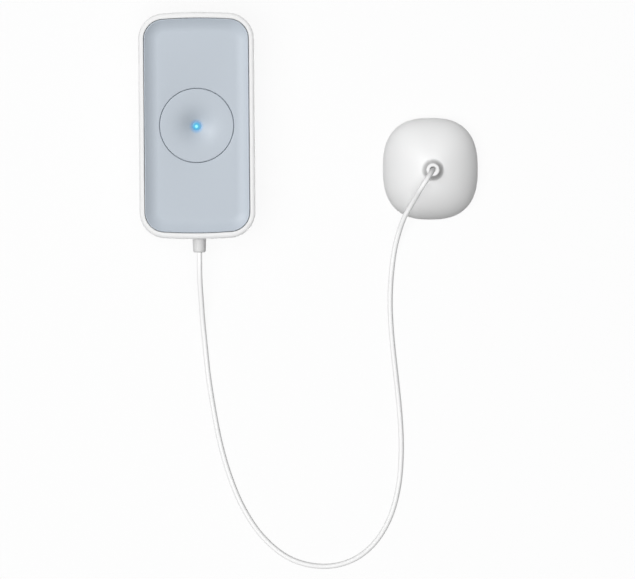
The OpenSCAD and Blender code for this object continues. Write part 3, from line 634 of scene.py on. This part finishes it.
def mix(a, b, share):
    """The number a share of the way from a to b."""
    return a + (b - a) * share


def ring(points, z):
    """Flat points at a height."""
    return [(x, y, z) for x, y in points]


def wall_outline(wall, inset):
    """Outline of the wall unit, drawn in by an inset: straight sides, round corners and bowed ends.

    The points on a side are spread evenly as seen from the middle, so that they also suit a round opening.
    """
    half_w = wall.width / 2
    corner_x = half_w - wall.corner_r
    shift = wall.side_ease * min(1.0, inset / wall.wall)
    bow_y = wall.length / 2 - wall.bow_r
    corner_y = bow_y + math.sqrt((wall.bow_r - wall.corner_r) ** 2 - corner_x ** 2)
    turn = math.degrees(math.atan2(corner_y - bow_y, corner_x))
    side_angle = math.atan2(corner_y, half_w)
    side_x = half_w - inset + shift
    side = [(side_x, half_w * math.tan(a)) for a in spread(0.0, side_angle, SIDE_STEPS)[:-1]]
    corner = arc(corner_x + shift, corner_y, wall.corner_r - inset, 0.0, turn, CORNER_STEPS)
    end = arc(0.0, bow_y, wall.bow_r - inset, turn, 90.0, END_STEPS)[1:]
    quarter = side + corner + end
    upper = quarter + [(-x, y) for x, y in reversed(quarter[1:-1])]
    return upper + [(-x, -y) for x, y in upper]


def turned(profile, steps):
    """Rings of a profile of (radius, height) turned about the Z axis."""
    ways = arc(0.0, 0.0, 1.0, 0.0, 360.0, steps)[:-1]
    return [[(r * x, r * y, z) for x, y in ways] for r, z in profile]


def skinned(rings, closed):
    """A mesh through rings of equal counts: a closed round of rings, or a row with flat ends."""
    count = len(rings[0])
    points = [p for one in rings for p in one]
    rounds = len(rings) if closed else len(rings) - 1
    faces = []
    for j in range(rounds):
        low, high = j * count, (j + 1) % len(rings) * count
        for i in range(count):
            k = (i + 1) % count
            faces.append((low + i, low + k, high + k, high + i))
    if not closed:
        faces.append(tuple(reversed(range(count))))
        faces.append(tuple(range((len(rings) - 1) * count, len(rings) * count)))
    mesh = bpy.data.meshes.new("skin")
    mesh.from_pydata(points, [], faces)
    return mesh


def tidied(mesh):
    """Closes doubled points, turns the faces outwards and shades the mesh smooth up to an angle."""
    bm = bmesh.new()
    bm.from_mesh(mesh)
    bmesh.ops.remove_doubles(bm, verts=bm.verts, dist=1e-7)
    bmesh.ops.dissolve_degenerate(bm, edges=bm.edges, dist=1e-8)
    bmesh.ops.recalc_face_normals(bm, faces=bm.faces)
    for face in bm.faces:
        face.smooth = True
    bm.to_mesh(mesh)
    bm.free()
    mesh.set_sharp_from_angle(angle=math.radians(SHARP_ANGLE))
    return mesh


def add_piece(name, mesh, node, slot, body, material=None):
    """Puts a mesh in the scene as a piece that stands for a solid and rides on its body."""
    mesh.name = name
    piece = bpy.data.objects.new(name, mesh)
    bpy.context.scene.collection.objects.link(piece)
    mesh.materials.append(material or finish_of(slot))
    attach(piece, body)
    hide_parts(node)
    return piece


def dress(node, slot):
    """Gives a solid its finish, and shades its round faces smooth without touching its points."""
    solid_piece = frame["nodes"][node]
    solid_piece.data.materials.clear()
    solid_piece.data.materials.append(finish_of(slot))
    solid_piece.data.polygons.foreach_set("use_smooth", [True] * len(solid_piece.data.polygons))
    weld = solid_piece.modifiers.new("weld", "WELD")
    weld.merge_threshold = 1e-6
    split = solid_piece.modifiers.new("edges", "EDGE_SPLIT")
    split.split_angle = math.radians(SPLIT_ANGLE)


def dish(button, r):
    """Depth of the button's dish at a radius."""
    return button.dish_depth * math.exp(-((r / button.dish_reach) ** 1.5))


# Operators


class LEAK_SENSOR_OT_stage(bpy.types.Operator):
    """Sets up the camera, the lamps, the floor and the world"""

    bl_idname = "leak_sensor.stage"
    bl_label = "Stage"

    def execute(self, context):
        studio = context.scene.leak_sensor_studio
        context.scene.view_settings.view_transform = "Standard"
        self.camera(context, studio)
        self.world(context, studio)
        floor = self.floor(context, studio)
        pieces = [o for o in context.scene.objects if o.type in {"MESH", "CURVE"} and o != floor]
        front = [o for o in pieces if o.name in FRONT_PIECES]
        probe = [o for o in pieces if self.near_probe(o)]
        lead = [o for o in pieces if o.name in LEAD_PIECES]
        case = [o for o in pieces if o not in front + probe + lead]
        stiff = [o for o in pieces if o not in lead]
        for name, lit, blocking, size in (
                ("front", front, pieces, FRONT_LAMP_SIZE),
                ("probe", probe, stiff, LAMP_SIZE),
                ("case", case, pieces, LAMP_SIZE),
                ("lead", lead, pieces, LAMP_SIZE),
                ("floor", [floor], pieces, LAMP_SIZE)):
            toward = self.toward(getattr(studio, name + "_zenith"), getattr(studio, name + "_azimuth"))
            self.lamp(context, name + "_lamp", toward, getattr(studio, name), lit, blocking, size=size)
        sides = [o for o in pieces if o.name in SIDE_PIECES]
        for turn in (0, 90, 180, 270):
            to_side = self.toward(studio.side_zenith, math.radians(turn))
            self.lamp(context, "side_lamp_%d" % turn, to_side, studio.side, sides, pieces)
        straight_up = Vector((0.0, 0.0, 1.0))
        self.lamp(
            context, "top_lamp", straight_up, studio.top, pieces + [floor], pieces, TOP_LAMP_DISTANCE)
        self.lamp(context, "under_lamp", -straight_up, studio.under, stiff, pieces)
        return {"FINISHED"}

    def near_probe(self, piece):
        """Whether a piece belongs to the probe."""
        return sum(corner[0] for corner in piece.bound_box) / 8 > SHELL_LOW.x

    def toward(self, zenith, azimuth):
        """Direction of a lamp, from its angle off straight overhead and its angle from +X."""
        return Vector((
            math.sin(zenith) * math.cos(azimuth), math.sin(zenith) * math.sin(azimuth), math.cos(zenith)))

    def camera(self, context, studio):
        data = bpy.data.cameras.new("camera")
        data.lens = studio.lens_mm
        distance = studio.view_w * data.lens / data.sensor_width
        camera = bpy.data.objects.new("camera", data)
        camera.location = (studio.aim_x, studio.aim_y, FRAME_HIGH.z + distance)
        camera.rotation_euler = (0.0, 0.0, studio.roll)
        data.clip_end = 2 * distance
        context.scene.collection.objects.link(camera)
        context.scene.camera = camera

    def lamp(self, context, name, toward, share, lit, blocking, distance=LAMP_DISTANCE, size=LAMP_SIZE):
        """An area lamp that gives some pieces a share of full light, with others in its way."""
        studio = context.scene.leak_sensor_studio
        data = bpy.data.lights.new(name, "AREA")
        data.shape = "DISK"
        data.size = size
        data.energy = share * (math.pi * distance) ** 2
        lamp = bpy.data.objects.new(name, data)
        lamp.location = Vector((studio.aim_x, studio.aim_y / 2, 0.0)) + toward * distance
        lamp.rotation_euler = toward.to_track_quat("Z", "Y").to_euler()
        lamp.visible_camera = False
        context.scene.collection.objects.link(lamp)
        lamp.light_linking.receiver_collection = self.gathered(name + "_lit", lit)
        lamp.light_linking.blocker_collection = self.gathered(name + "_blocking", blocking)

    def gathered(self, name, pieces):
        """A collection of pieces."""
        made = bpy.data.collections.new(name)
        for piece in pieces:
            made.objects.link(piece)
        return made

    def seen(self, finish):
        """1 for the rays that show the background: from the camera, off gloss and through glass."""
        flags = ("Is Camera Ray", "Is Glossy Ray", "Is Transmission Ray")
        rays = [finish.node("ShaderNodeLightPath", out=flag) for flag in flags]
        return finish.math("MAXIMUM", finish.math("MAXIMUM", rays[0], rays[1]), rays[2])

    def floor(self, context, studio):
        """A floor that shows the white sky with a faint shadow, and gives the pieces an even light back."""
        mesh = bpy.data.meshes.new("floor")
        half = FLOOR_WIDTH / 2
        corners = [(-half, -half), (half, -half), (half, half), (-half, half)]
        mesh.from_pydata(ring(corners, FLOOR_Z), [], [(0, 1, 2, 3)])
        finish = new_finish("floor_white")
        shown = self.seen(finish)
        cloth = finish.node("ShaderNodeBsdfDiffuse", None, {"Color": solid(FLOOR_TONE)})
        clear = finish.node("ShaderNodeBsdfTransparent")
        faint = finish.node("ShaderNodeMixShader", None, {0: studio.floor_white, 1: cloth, 2: clear})
        dim = finish.node(
            "ShaderNodeEmission", None, {"Color": solid(WHITE), "Strength": studio.bounce})
        top = finish.node("ShaderNodeMixShader", None, {0: shown, 1: dim, 2: faint})
        below = finish.node("ShaderNodeNewGeometry", out="Backfacing")
        mesh.materials.append(
            finish.ended(finish.node("ShaderNodeMixShader", None, {0: below, 1: top, 2: clear})))
        floor = bpy.data.objects.new("floor", mesh)
        context.scene.collection.objects.link(floor)
        return floor

    def world(self, context, studio):
        """An even grey sky that shows as white where it is seen."""
        sky = bpy.data.worlds.new("studio_sky")
        context.scene.world = sky
        finish = Finish(sky)
        shown = self.seen(finish)
        strength = shown + (1.0 - shown) * studio.ambient
        shader = finish.node("ShaderNodeBackground", None, {"Color": solid(WHITE), "Strength": strength})
        finish.ended(shader, "ShaderNodeOutputWorld")


class LEAK_SENSOR_OT_lead(bpy.types.Operator):
    """Lays the thin lead from the strain relief over the floor into the probe"""

    bl_idname = "leak_sensor.lead"
    bl_label = "Lead"

    def execute(self, context):
        sizes = context.scene.leak_sensor_lead
        points = [Vector(p) for p in LEAD_ROUTE]
        last = len(points) - 1
        curve = bpy.data.curves.new("lead_line", "CURVE")
        curve.dimensions = "3D"
        curve.bevel_depth = sizes.diameter / 2
        curve.bevel_resolution = 6
        curve.resolution_u = 10
        curve.use_fill_caps = True
        spline = curve.splines.new("BEZIER")
        spline.bezier_points.add(last)
        for i, point in enumerate(points):
            back = points[max(i - 1, 0)]
            ahead = points[min(i + 1, last)]
            way = LEAD_LEAVES if i == 0 else LEAD_ENTERS if i == last else (ahead - back).normalized()
            knot = spline.bezier_points[i]
            knot.co = point
            knot.handle_left_type = "FREE"
            knot.handle_right_type = "FREE"
            knot.handle_left = point - way * (point - back).length / 3
            knot.handle_right = point + way * (ahead - point).length / 3
        lead = bpy.data.objects.new("lead_jacket", curve)
        context.scene.collection.objects.link(lead)
        curve.materials.append(finish_of("lead_jacket"))
        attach(lead, "main_unit")
        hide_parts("lead")
        return {"FINISHED"}


class LEAK_SENSOR_OT_front_frame(bpy.types.Operator):
    """Makes the white frame with its rounded edges, ledge and rebate"""

    bl_idname = "leak_sensor.front_frame"
    bl_label = "Front frame"

    def execute(self, context):
        wall = context.scene.leak_sensor_wall
        ledge_in = wall.wall + LEDGE_W
        ledge_z = wall.panel_z - LEDGE_T
        rebate_in = wall.wall - REBATE_W
        rebate_z = wall.seam_z + REBATE_H
        profile = [(BACK_BEVEL, wall.seam_z), (0.0, wall.seam_z + BACK_BEVEL)]
        profile += arc(wall.edge_r, wall.front_z - wall.edge_r, wall.edge_r, 180.0, 90.0, 10)
        profile += arc(wall.wall - wall.lip_r, wall.front_z - wall.lip_r, wall.lip_r, 90.0, 0.0, 6)
        profile += [
            (wall.wall, wall.panel_z),
            (ledge_in, wall.panel_z),
            (ledge_in, ledge_z),
            (wall.wall, ledge_z - LEDGE_SLOPE),
            (wall.wall, rebate_z),
            (rebate_in, rebate_z),
            (rebate_in, wall.seam_z),
        ]
        rings = [ring(wall_outline(wall, inset), z) for inset, z in profile]
        add_piece("frame_bezel", tidied(skinned(rings, True)), "front_frame", "white_plastic", "main_unit")
        return {"FINISHED"}


class LEAK_SENSOR_OT_front_panel(bpy.types.Operator):
    """Makes the blue-grey panel with its curled rim and round opening"""

    bl_idname = "leak_sensor.front_panel"
    bl_label = "Front panel"

    def execute(self, context):
        wall = context.scene.leak_sensor_wall
        button = context.scene.leak_sensor_button
        edge = wall.wall + wall.panel_gap
        curl = edge + RIM_ROUND
        flat_z = wall.rim_z - wall.rim_rise
        hole_r = button.cap_r + button.gap
        lip_r = hole_r + OPENING_ROUND
        rows = [(edge + BACK_BEVEL, wall.panel_z), (edge, wall.panel_z + BACK_BEVEL)]
        rows += arc(curl, wall.rim_z - RIM_ROUND, RIM_ROUND, 180.0, 90.0, 5)
        for t in spread(0.0, 1.0, 24)[1:]:
            rows.append((curl + wall.rim_w * t, flat_z + wall.rim_rise * (1.0 - t) ** 2))
        rings = [self.kept_outside(ring(wall_outline(wall, inset), z), lip_r) for inset, z in rows]
        ways = [Vector(p).normalized() for p in wall_outline(wall, edge)]
        opening = arc(lip_r, flat_z - OPENING_ROUND, OPENING_ROUND, 90.0, 180.0, 5)
        opening.append((hole_r, wall.panel_z))
        for r, z in opening:
            rings.append([(way.x * r, way.y * r, z) for way in ways])
        add_piece("panel_tray", tidied(skinned(rings, True)), "front_panel", "panel_plastic", "main_unit")
        return {"FINISHED"}

    def kept_outside(self, points, radius):
        """The points, with those inside a circle moved out to it."""
        kept = []
        for x, y, z in points:
            grow = max(1.0, radius / math.hypot(x, y))
            kept.append((x * grow, y * grow, z))
        return kept


class LEAK_SENSOR_OT_test_button(bpy.types.Operator):
    """Makes the dished button cap and the lit lens in its middle"""

    bl_idname = "leak_sensor.test_button"
    bl_label = "Test button"

    def execute(self, context):
        self.cap(context)
        self.lens(context)
        return {"FINISHED"}

    def cap(self, context):
        wall = context.scene.leak_sensor_wall
        button = context.scene.leak_sensor_button
        tints = context.scene.leak_sensor_tints
        flat_z = wall.rim_z - wall.rim_rise
        edge_r = button.cap_r - CAP_ROUND
        skirt_r = button.cap_r - SKIRT_T
        flange_r = (CAP_HIGH.x - CAP_LOW.x) / 2
        flange_z = wall.panel_z - CAP_FLANGE_T
        seat_r = button.lens_r + SEAT_W
        hole_r = button.lens_r + LENS_GAP
        profile = [(r, flat_z - dish(button, r)) for r in spread(hole_r, edge_r, 72)]
        profile += arc(edge_r, profile[-1][1] - CAP_ROUND, CAP_ROUND, 90.0, 0.0, 5)[1:]
        profile += [
            (button.cap_r, wall.panel_z),
            (flange_r, wall.panel_z),
            (flange_r, flange_z),
            (skirt_r, flange_z),
        ]
        profile += [(r, flat_z - button.cap_t - dish(button, r)) for r in spread(skirt_r, seat_r, 24)]
        profile += [(seat_r, CAP_LOW.z), (hole_r, CAP_LOW.z)]
        # Painted glow: the diode's blue light on the button round the lens, mixed into its colour
        halo = (*GLOW_SPOT, button.lens_r, HALO_FADE, tints.halo)
        finish = moulded_plastic("finish_lit_button", tints.panel, painted_spot=halo)
        mesh = tidied(skinned(turned(profile, BUTTON_STEPS), True))
        add_piece("button_dish", mesh, "button_cap", "panel_plastic", "test_button", finish)

    def lens(self, context):
        button = context.scene.leak_sensor_button
        flange_r = (LENS_HIGH.x - LENS_LOW.x) / 2
        flange_z = LENS_LOW.z + LENS_FLANGE_T
        shoulder = LENS_HIGH.z - LENS_RISE
        profile = [(AXIS_R, LENS_LOW.z), (flange_r, LENS_LOW.z)]
        profile += [(flange_r, flange_z), (button.lens_r, flange_z)]
        for t in spread(0.0, math.pi / 2, 14):
            profile.append((max(button.lens_r * math.cos(t), AXIS_R), shoulder + LENS_RISE * math.sin(t)))
        mesh = tidied(skinned(turned(profile, LENS_STEPS), False))
        add_piece("lens_dome", mesh, "indicator_lens", "clear_lens", "test_button")


class LEAK_SENSOR_OT_strain_relief(bpy.types.Operator):
    """Makes the light grey sleeve that the lead leaves the wall unit through"""

    bl_idname = "leak_sensor.strain_relief"
    bl_label = "Strain relief"

    def execute(self, context):
        wall = context.scene.leak_sensor_wall
        sizes = context.scene.leak_sensor_lead
        x = LEAD_ROUTE[0][0]
        z = LEAD_ROUTE[0][2]
        start_y = -wall.length / 2
        reach = start_y - SLEEVE_LOW.y
        inside = start_y - SLEEVE_HIGH.y
        flange_r = (SLEEVE_HIGH.x - SLEEVE_LOW.x) / 2
        neck_r = sizes.sleeve_r - NECK_DEPTH
        flange = inside + SLEEVE_FLANGE_T
        rounding = sizes.sleeve_round
        profile = [(AXIS_R, inside), (flange_r, inside), (flange_r, flange), (neck_r, flange), (neck_r, 0.0)]
        profile += [(sizes.sleeve_r - SLEEVE_BEVEL, 0.0), (sizes.sleeve_r, SLEEVE_BEVEL)]
        profile += arc(sizes.sleeve_end_r - rounding, reach - rounding, rounding, 0.0, 90.0, 8)
        profile += [(AXIS_R, reach)]
        rings = [
            [(x + px, start_y - height, z + py) for px, py, height in one]
            for one in turned(profile, SMALL_STEPS)]
        add_piece(
            "sleeve_moulding", tidied(skinned(rings, False)), "strain_relief", "grey_plastic", "main_unit")
        return {"FINISHED"}


class LEAK_SENSOR_OT_probe(bpy.types.Operator):
    """Makes the probe's domed shell with its collar, and the bush in the collar"""

    bl_idname = "leak_sensor.probe"
    bl_label = "Probe"

    def execute(self, context):
        self.shell(context)
        self.bush(context)
        return {"FINISHED"}

    def shell(self, context):
        probe = context.scene.leak_sensor_probe
        tints = context.scene.leak_sensor_tints
        centre = (SHELL_LOW + SHELL_HIGH) / 2
        eye_at = (BUSH_LOW + BUSH_HIGH) / 2 - centre
        half_w = probe.width / 2
        half_l = probe.length / 2
        bore_r = probe.collar_top_r - COLLAR_RING
        ceiling_z = probe.top_z - CEILING_T
        shoulder_z = probe.girth_z - SHOULDER_DROP
        rim_scale = 1.0 - RIM_T / half_w
        hollow_scale = 1.0 - HOLLOW_T / half_w
        girth = [self.girth_point(probe, 2 * math.pi * i / PROBE_STEPS) for i in range(PROBE_STEPS)]
        ways = [Vector(p).normalized() for p in girth]

        def pebble(scale):
            return [(x * scale, y * scale) for x, y in girth]

        def eye(r):
            return [(eye_at.x + way.x * r, eye_at.y + way.y * r) for way in ways]

        def dome_z(x, y):
            power = probe.square
            out = (abs(x / half_w) ** power + abs(y / half_l) ** power) ** (1.0 / power)
            share = (1.0 - min(out, 1.0) ** probe.full) ** (1.0 / probe.full)
            return mix(probe.girth_z, probe.top_z, share)

        def on_dome(points):
            return [(x, y, dome_z(x, y)) for x, y in points]

        def between(a, b, share):
            return [(mix(p[0], q[0], share), mix(p[1], q[1], share)) for p, q in zip(a, b)]

        rings = [ring(pebble(FOOT_SCALE), SHELL_LOW.z)]
        for t in spread(0.0, 1.0, 8)[:-1]:
            tuck = 1.0 - TUCK * (1.0 - t) ** TUCK_POWER
            rings.append(ring(pebble(tuck), mix(SHELL_LOW.z + FOOT_BEVEL, probe.girth_z, t)))
        for t in spread(0.0, 90.0, 48):
            scale = max(math.cos(math.radians(t)), 0.0) ** (2.0 / probe.full)
            if scale > CROWN + CROWN_GAP:
                rings.append(on_dome(pebble(scale)))
        for t in spread(0.0, 1.0, 14):
            rings.append(on_dome(between(pebble(CROWN), eye(probe.collar_foot_r), t)))
        for t in spread(0.0, 1.0, 14)[1:]:
            flare = on_dome(eye(mix(probe.collar_foot_r, probe.collar_top_r, t)))
            rings.append([(x, y, mix(z, probe.collar_z, t ** FLARE_POWER)) for x, y, z in flare])
        rings += [ring(eye(bore_r), probe.collar_z), ring(eye(bore_r), ceiling_z)]
        ceiling = between(pebble(hollow_scale * CEILING_SCALE), eye(bore_r + BORE_LEDGE), CEILING_SHIFT)
        rings.append(ring(ceiling, ceiling_z))
        for t in spread(HOLLOW_TOP, 0.0, 6):
            scale = hollow_scale * math.cos(math.radians(t)) ** (2.0 / probe.full)
            height = math.sin(math.radians(t)) ** (2.0 / probe.full)
            rings.append(ring(pebble(scale), mix(shoulder_z + SHOULDER_STEP, ceiling_z, height)))
        for scale, z in ((hollow_scale, shoulder_z), (rim_scale, shoulder_z), (rim_scale, SHELL_LOW.z)):
            rings.append(ring(pebble(scale), z))
        placed = [[(centre.x + x, centre.y + y, z) for x, y, z in one] for one in rings]
        eye_x, eye_y = centre.x + eye_at.x, centre.y + eye_at.y
        # Painted shade: the collar's flank gets the darker collar tint in place of the shade round the bush
        painted_spot = (eye_x, eye_y, probe.collar_foot_r, COLLAR_SHADE_FADE, tints.collar)
        finish = moulded_plastic("finish_shell_painted_shade", tints.white, painted_spot=painted_spot)
        mesh = tidied(skinned(placed, True))
        add_piece("probe_dome", mesh, "probe_shell", "white_plastic", "main_unit", finish)

    def girth_point(self, probe, t):
        """A point on the probe's widest line."""
        across, along = math.cos(t), math.sin(t)
        power = 2.0 / probe.square
        return (
            math.copysign(abs(across) ** power, across) * probe.width / 2,
            math.copysign(abs(along) ** power, along) * probe.length / 2)

    def bush(self, context):
        probe = context.scene.leak_sensor_probe
        sizes = context.scene.leak_sensor_lead
        centre = (BUSH_LOW + BUSH_HIGH) / 2
        ceiling_z = probe.top_z - CEILING_T
        shank_r = probe.collar_top_r - COLLAR_RING - BUSH_GAP
        lip_r = shank_r + BUSH_LIP
        bore_r = sizes.diameter / 2 + LEAD_GAP
        web_z = LEAD_ROUTE[-1][2]
        top_z = BUSH_HIGH.z
        profile = [
            (AXIS_R, BUSH_LOW.z), (lip_r, BUSH_LOW.z), (lip_r, ceiling_z), (shank_r, ceiling_z),
            (shank_r, probe.collar_z), (probe.collar_top_r, probe.collar_z),
        ]
        profile += arc(probe.collar_top_r - BUSH_ROUND, top_z - BUSH_ROUND, BUSH_ROUND, 0.0, 90.0, 8)
        profile += arc(bore_r + MOUTH_ROUND, top_z - MOUTH_ROUND, MOUTH_ROUND, 90.0, 180.0, 5)
        profile += [(bore_r, web_z), (AXIS_R, web_z)]
        rings = [
            [(centre.x + x, centre.y + y, z) for x, y, z in one] for one in turned(profile, SMALL_STEPS)]
        finish = soft_jacket("finish_bush", context.scene.leak_sensor_tints.bush)
        mesh = tidied(skinned(rings, False))
        add_piece("collar_bush", mesh, "cord_bush", "lead_jacket", "main_unit", finish)


class LEAK_SENSOR_OT_solids(bpy.types.Operator):
    """Gives every solid that shows as it is its finish"""

    bl_idname = "leak_sensor.solids"
    bl_label = "Other solids"

    def execute(self, context):
        for row in frame["record"]["subparts"]:
            if not frame["nodes"][row["node"]].hide_render:
                dress(row["node"], row["material_slot"])
        return {"FINISHED"}


class LEAK_SENSOR_PT_panel(bpy.types.Panel):
    """Lists the sensor's sizes, colours and building steps"""

    bl_idname = "LEAK_SENSOR_PT_panel"
    bl_label = "Leak sensor"
    bl_space_type = "VIEW_3D"
    bl_region_type = "UI"
    bl_category = "Leak sensor"

    def draw(self, context):
        for name in GROUPS:
            box = self.layout.box()
            group = getattr(context.scene, name)
            for key in group.__annotations__:
                box.prop(group, key)
        for operator in OPERATORS:
            self.layout.operator(operator.bl_idname)


GROUPS = {
    "leak_sensor_wall": WallUnitSizes,
    "leak_sensor_button": ButtonSizes,
    "leak_sensor_lead": LeadSizes,
    "leak_sensor_probe": ProbeSizes,
    "leak_sensor_tints": Tints,
    "leak_sensor_studio": StudioSettings,
}
OPERATORS = (
    LEAK_SENSOR_OT_lead,
    LEAK_SENSOR_OT_front_frame,
    LEAK_SENSOR_OT_front_panel,
    LEAK_SENSOR_OT_test_button,
    LEAK_SENSOR_OT_strain_relief,
    LEAK_SENSOR_OT_probe,
    LEAK_SENSOR_OT_solids,
    LEAK_SENSOR_OT_stage,
)


def register():
    for name, group in GROUPS.items():
        bpy.utils.register_class(group)
        setattr(bpy.types.Scene, name, PointerProperty(type=group))
    for operator in OPERATORS:
        bpy.utils.register_class(operator)
    bpy.utils.register_class(LEAK_SENSOR_PT_panel)


def unregister():
    bpy.utils.unregister_class(LEAK_SENSOR_PT_panel)
    for operator in reversed(OPERATORS):
        bpy.utils.unregister_class(operator)
    for name, group in reversed(GROUPS.items()):
        delattr(bpy.types.Scene, name)
        bpy.utils.unregister_class(group)


def main():
    """Builds the sensor in order."""
    register()
    bpy.ops.leak_sensor.lead()
    bpy.ops.leak_sensor.front_frame()
    bpy.ops.leak_sensor.front_panel()
    bpy.ops.leak_sensor.test_button()
    bpy.ops.leak_sensor.strain_relief()
    bpy.ops.leak_sensor.probe()
    bpy.ops.leak_sensor.solids()
    bpy.ops.leak_sensor.stage()


if __name__ == "__main__":
    main()
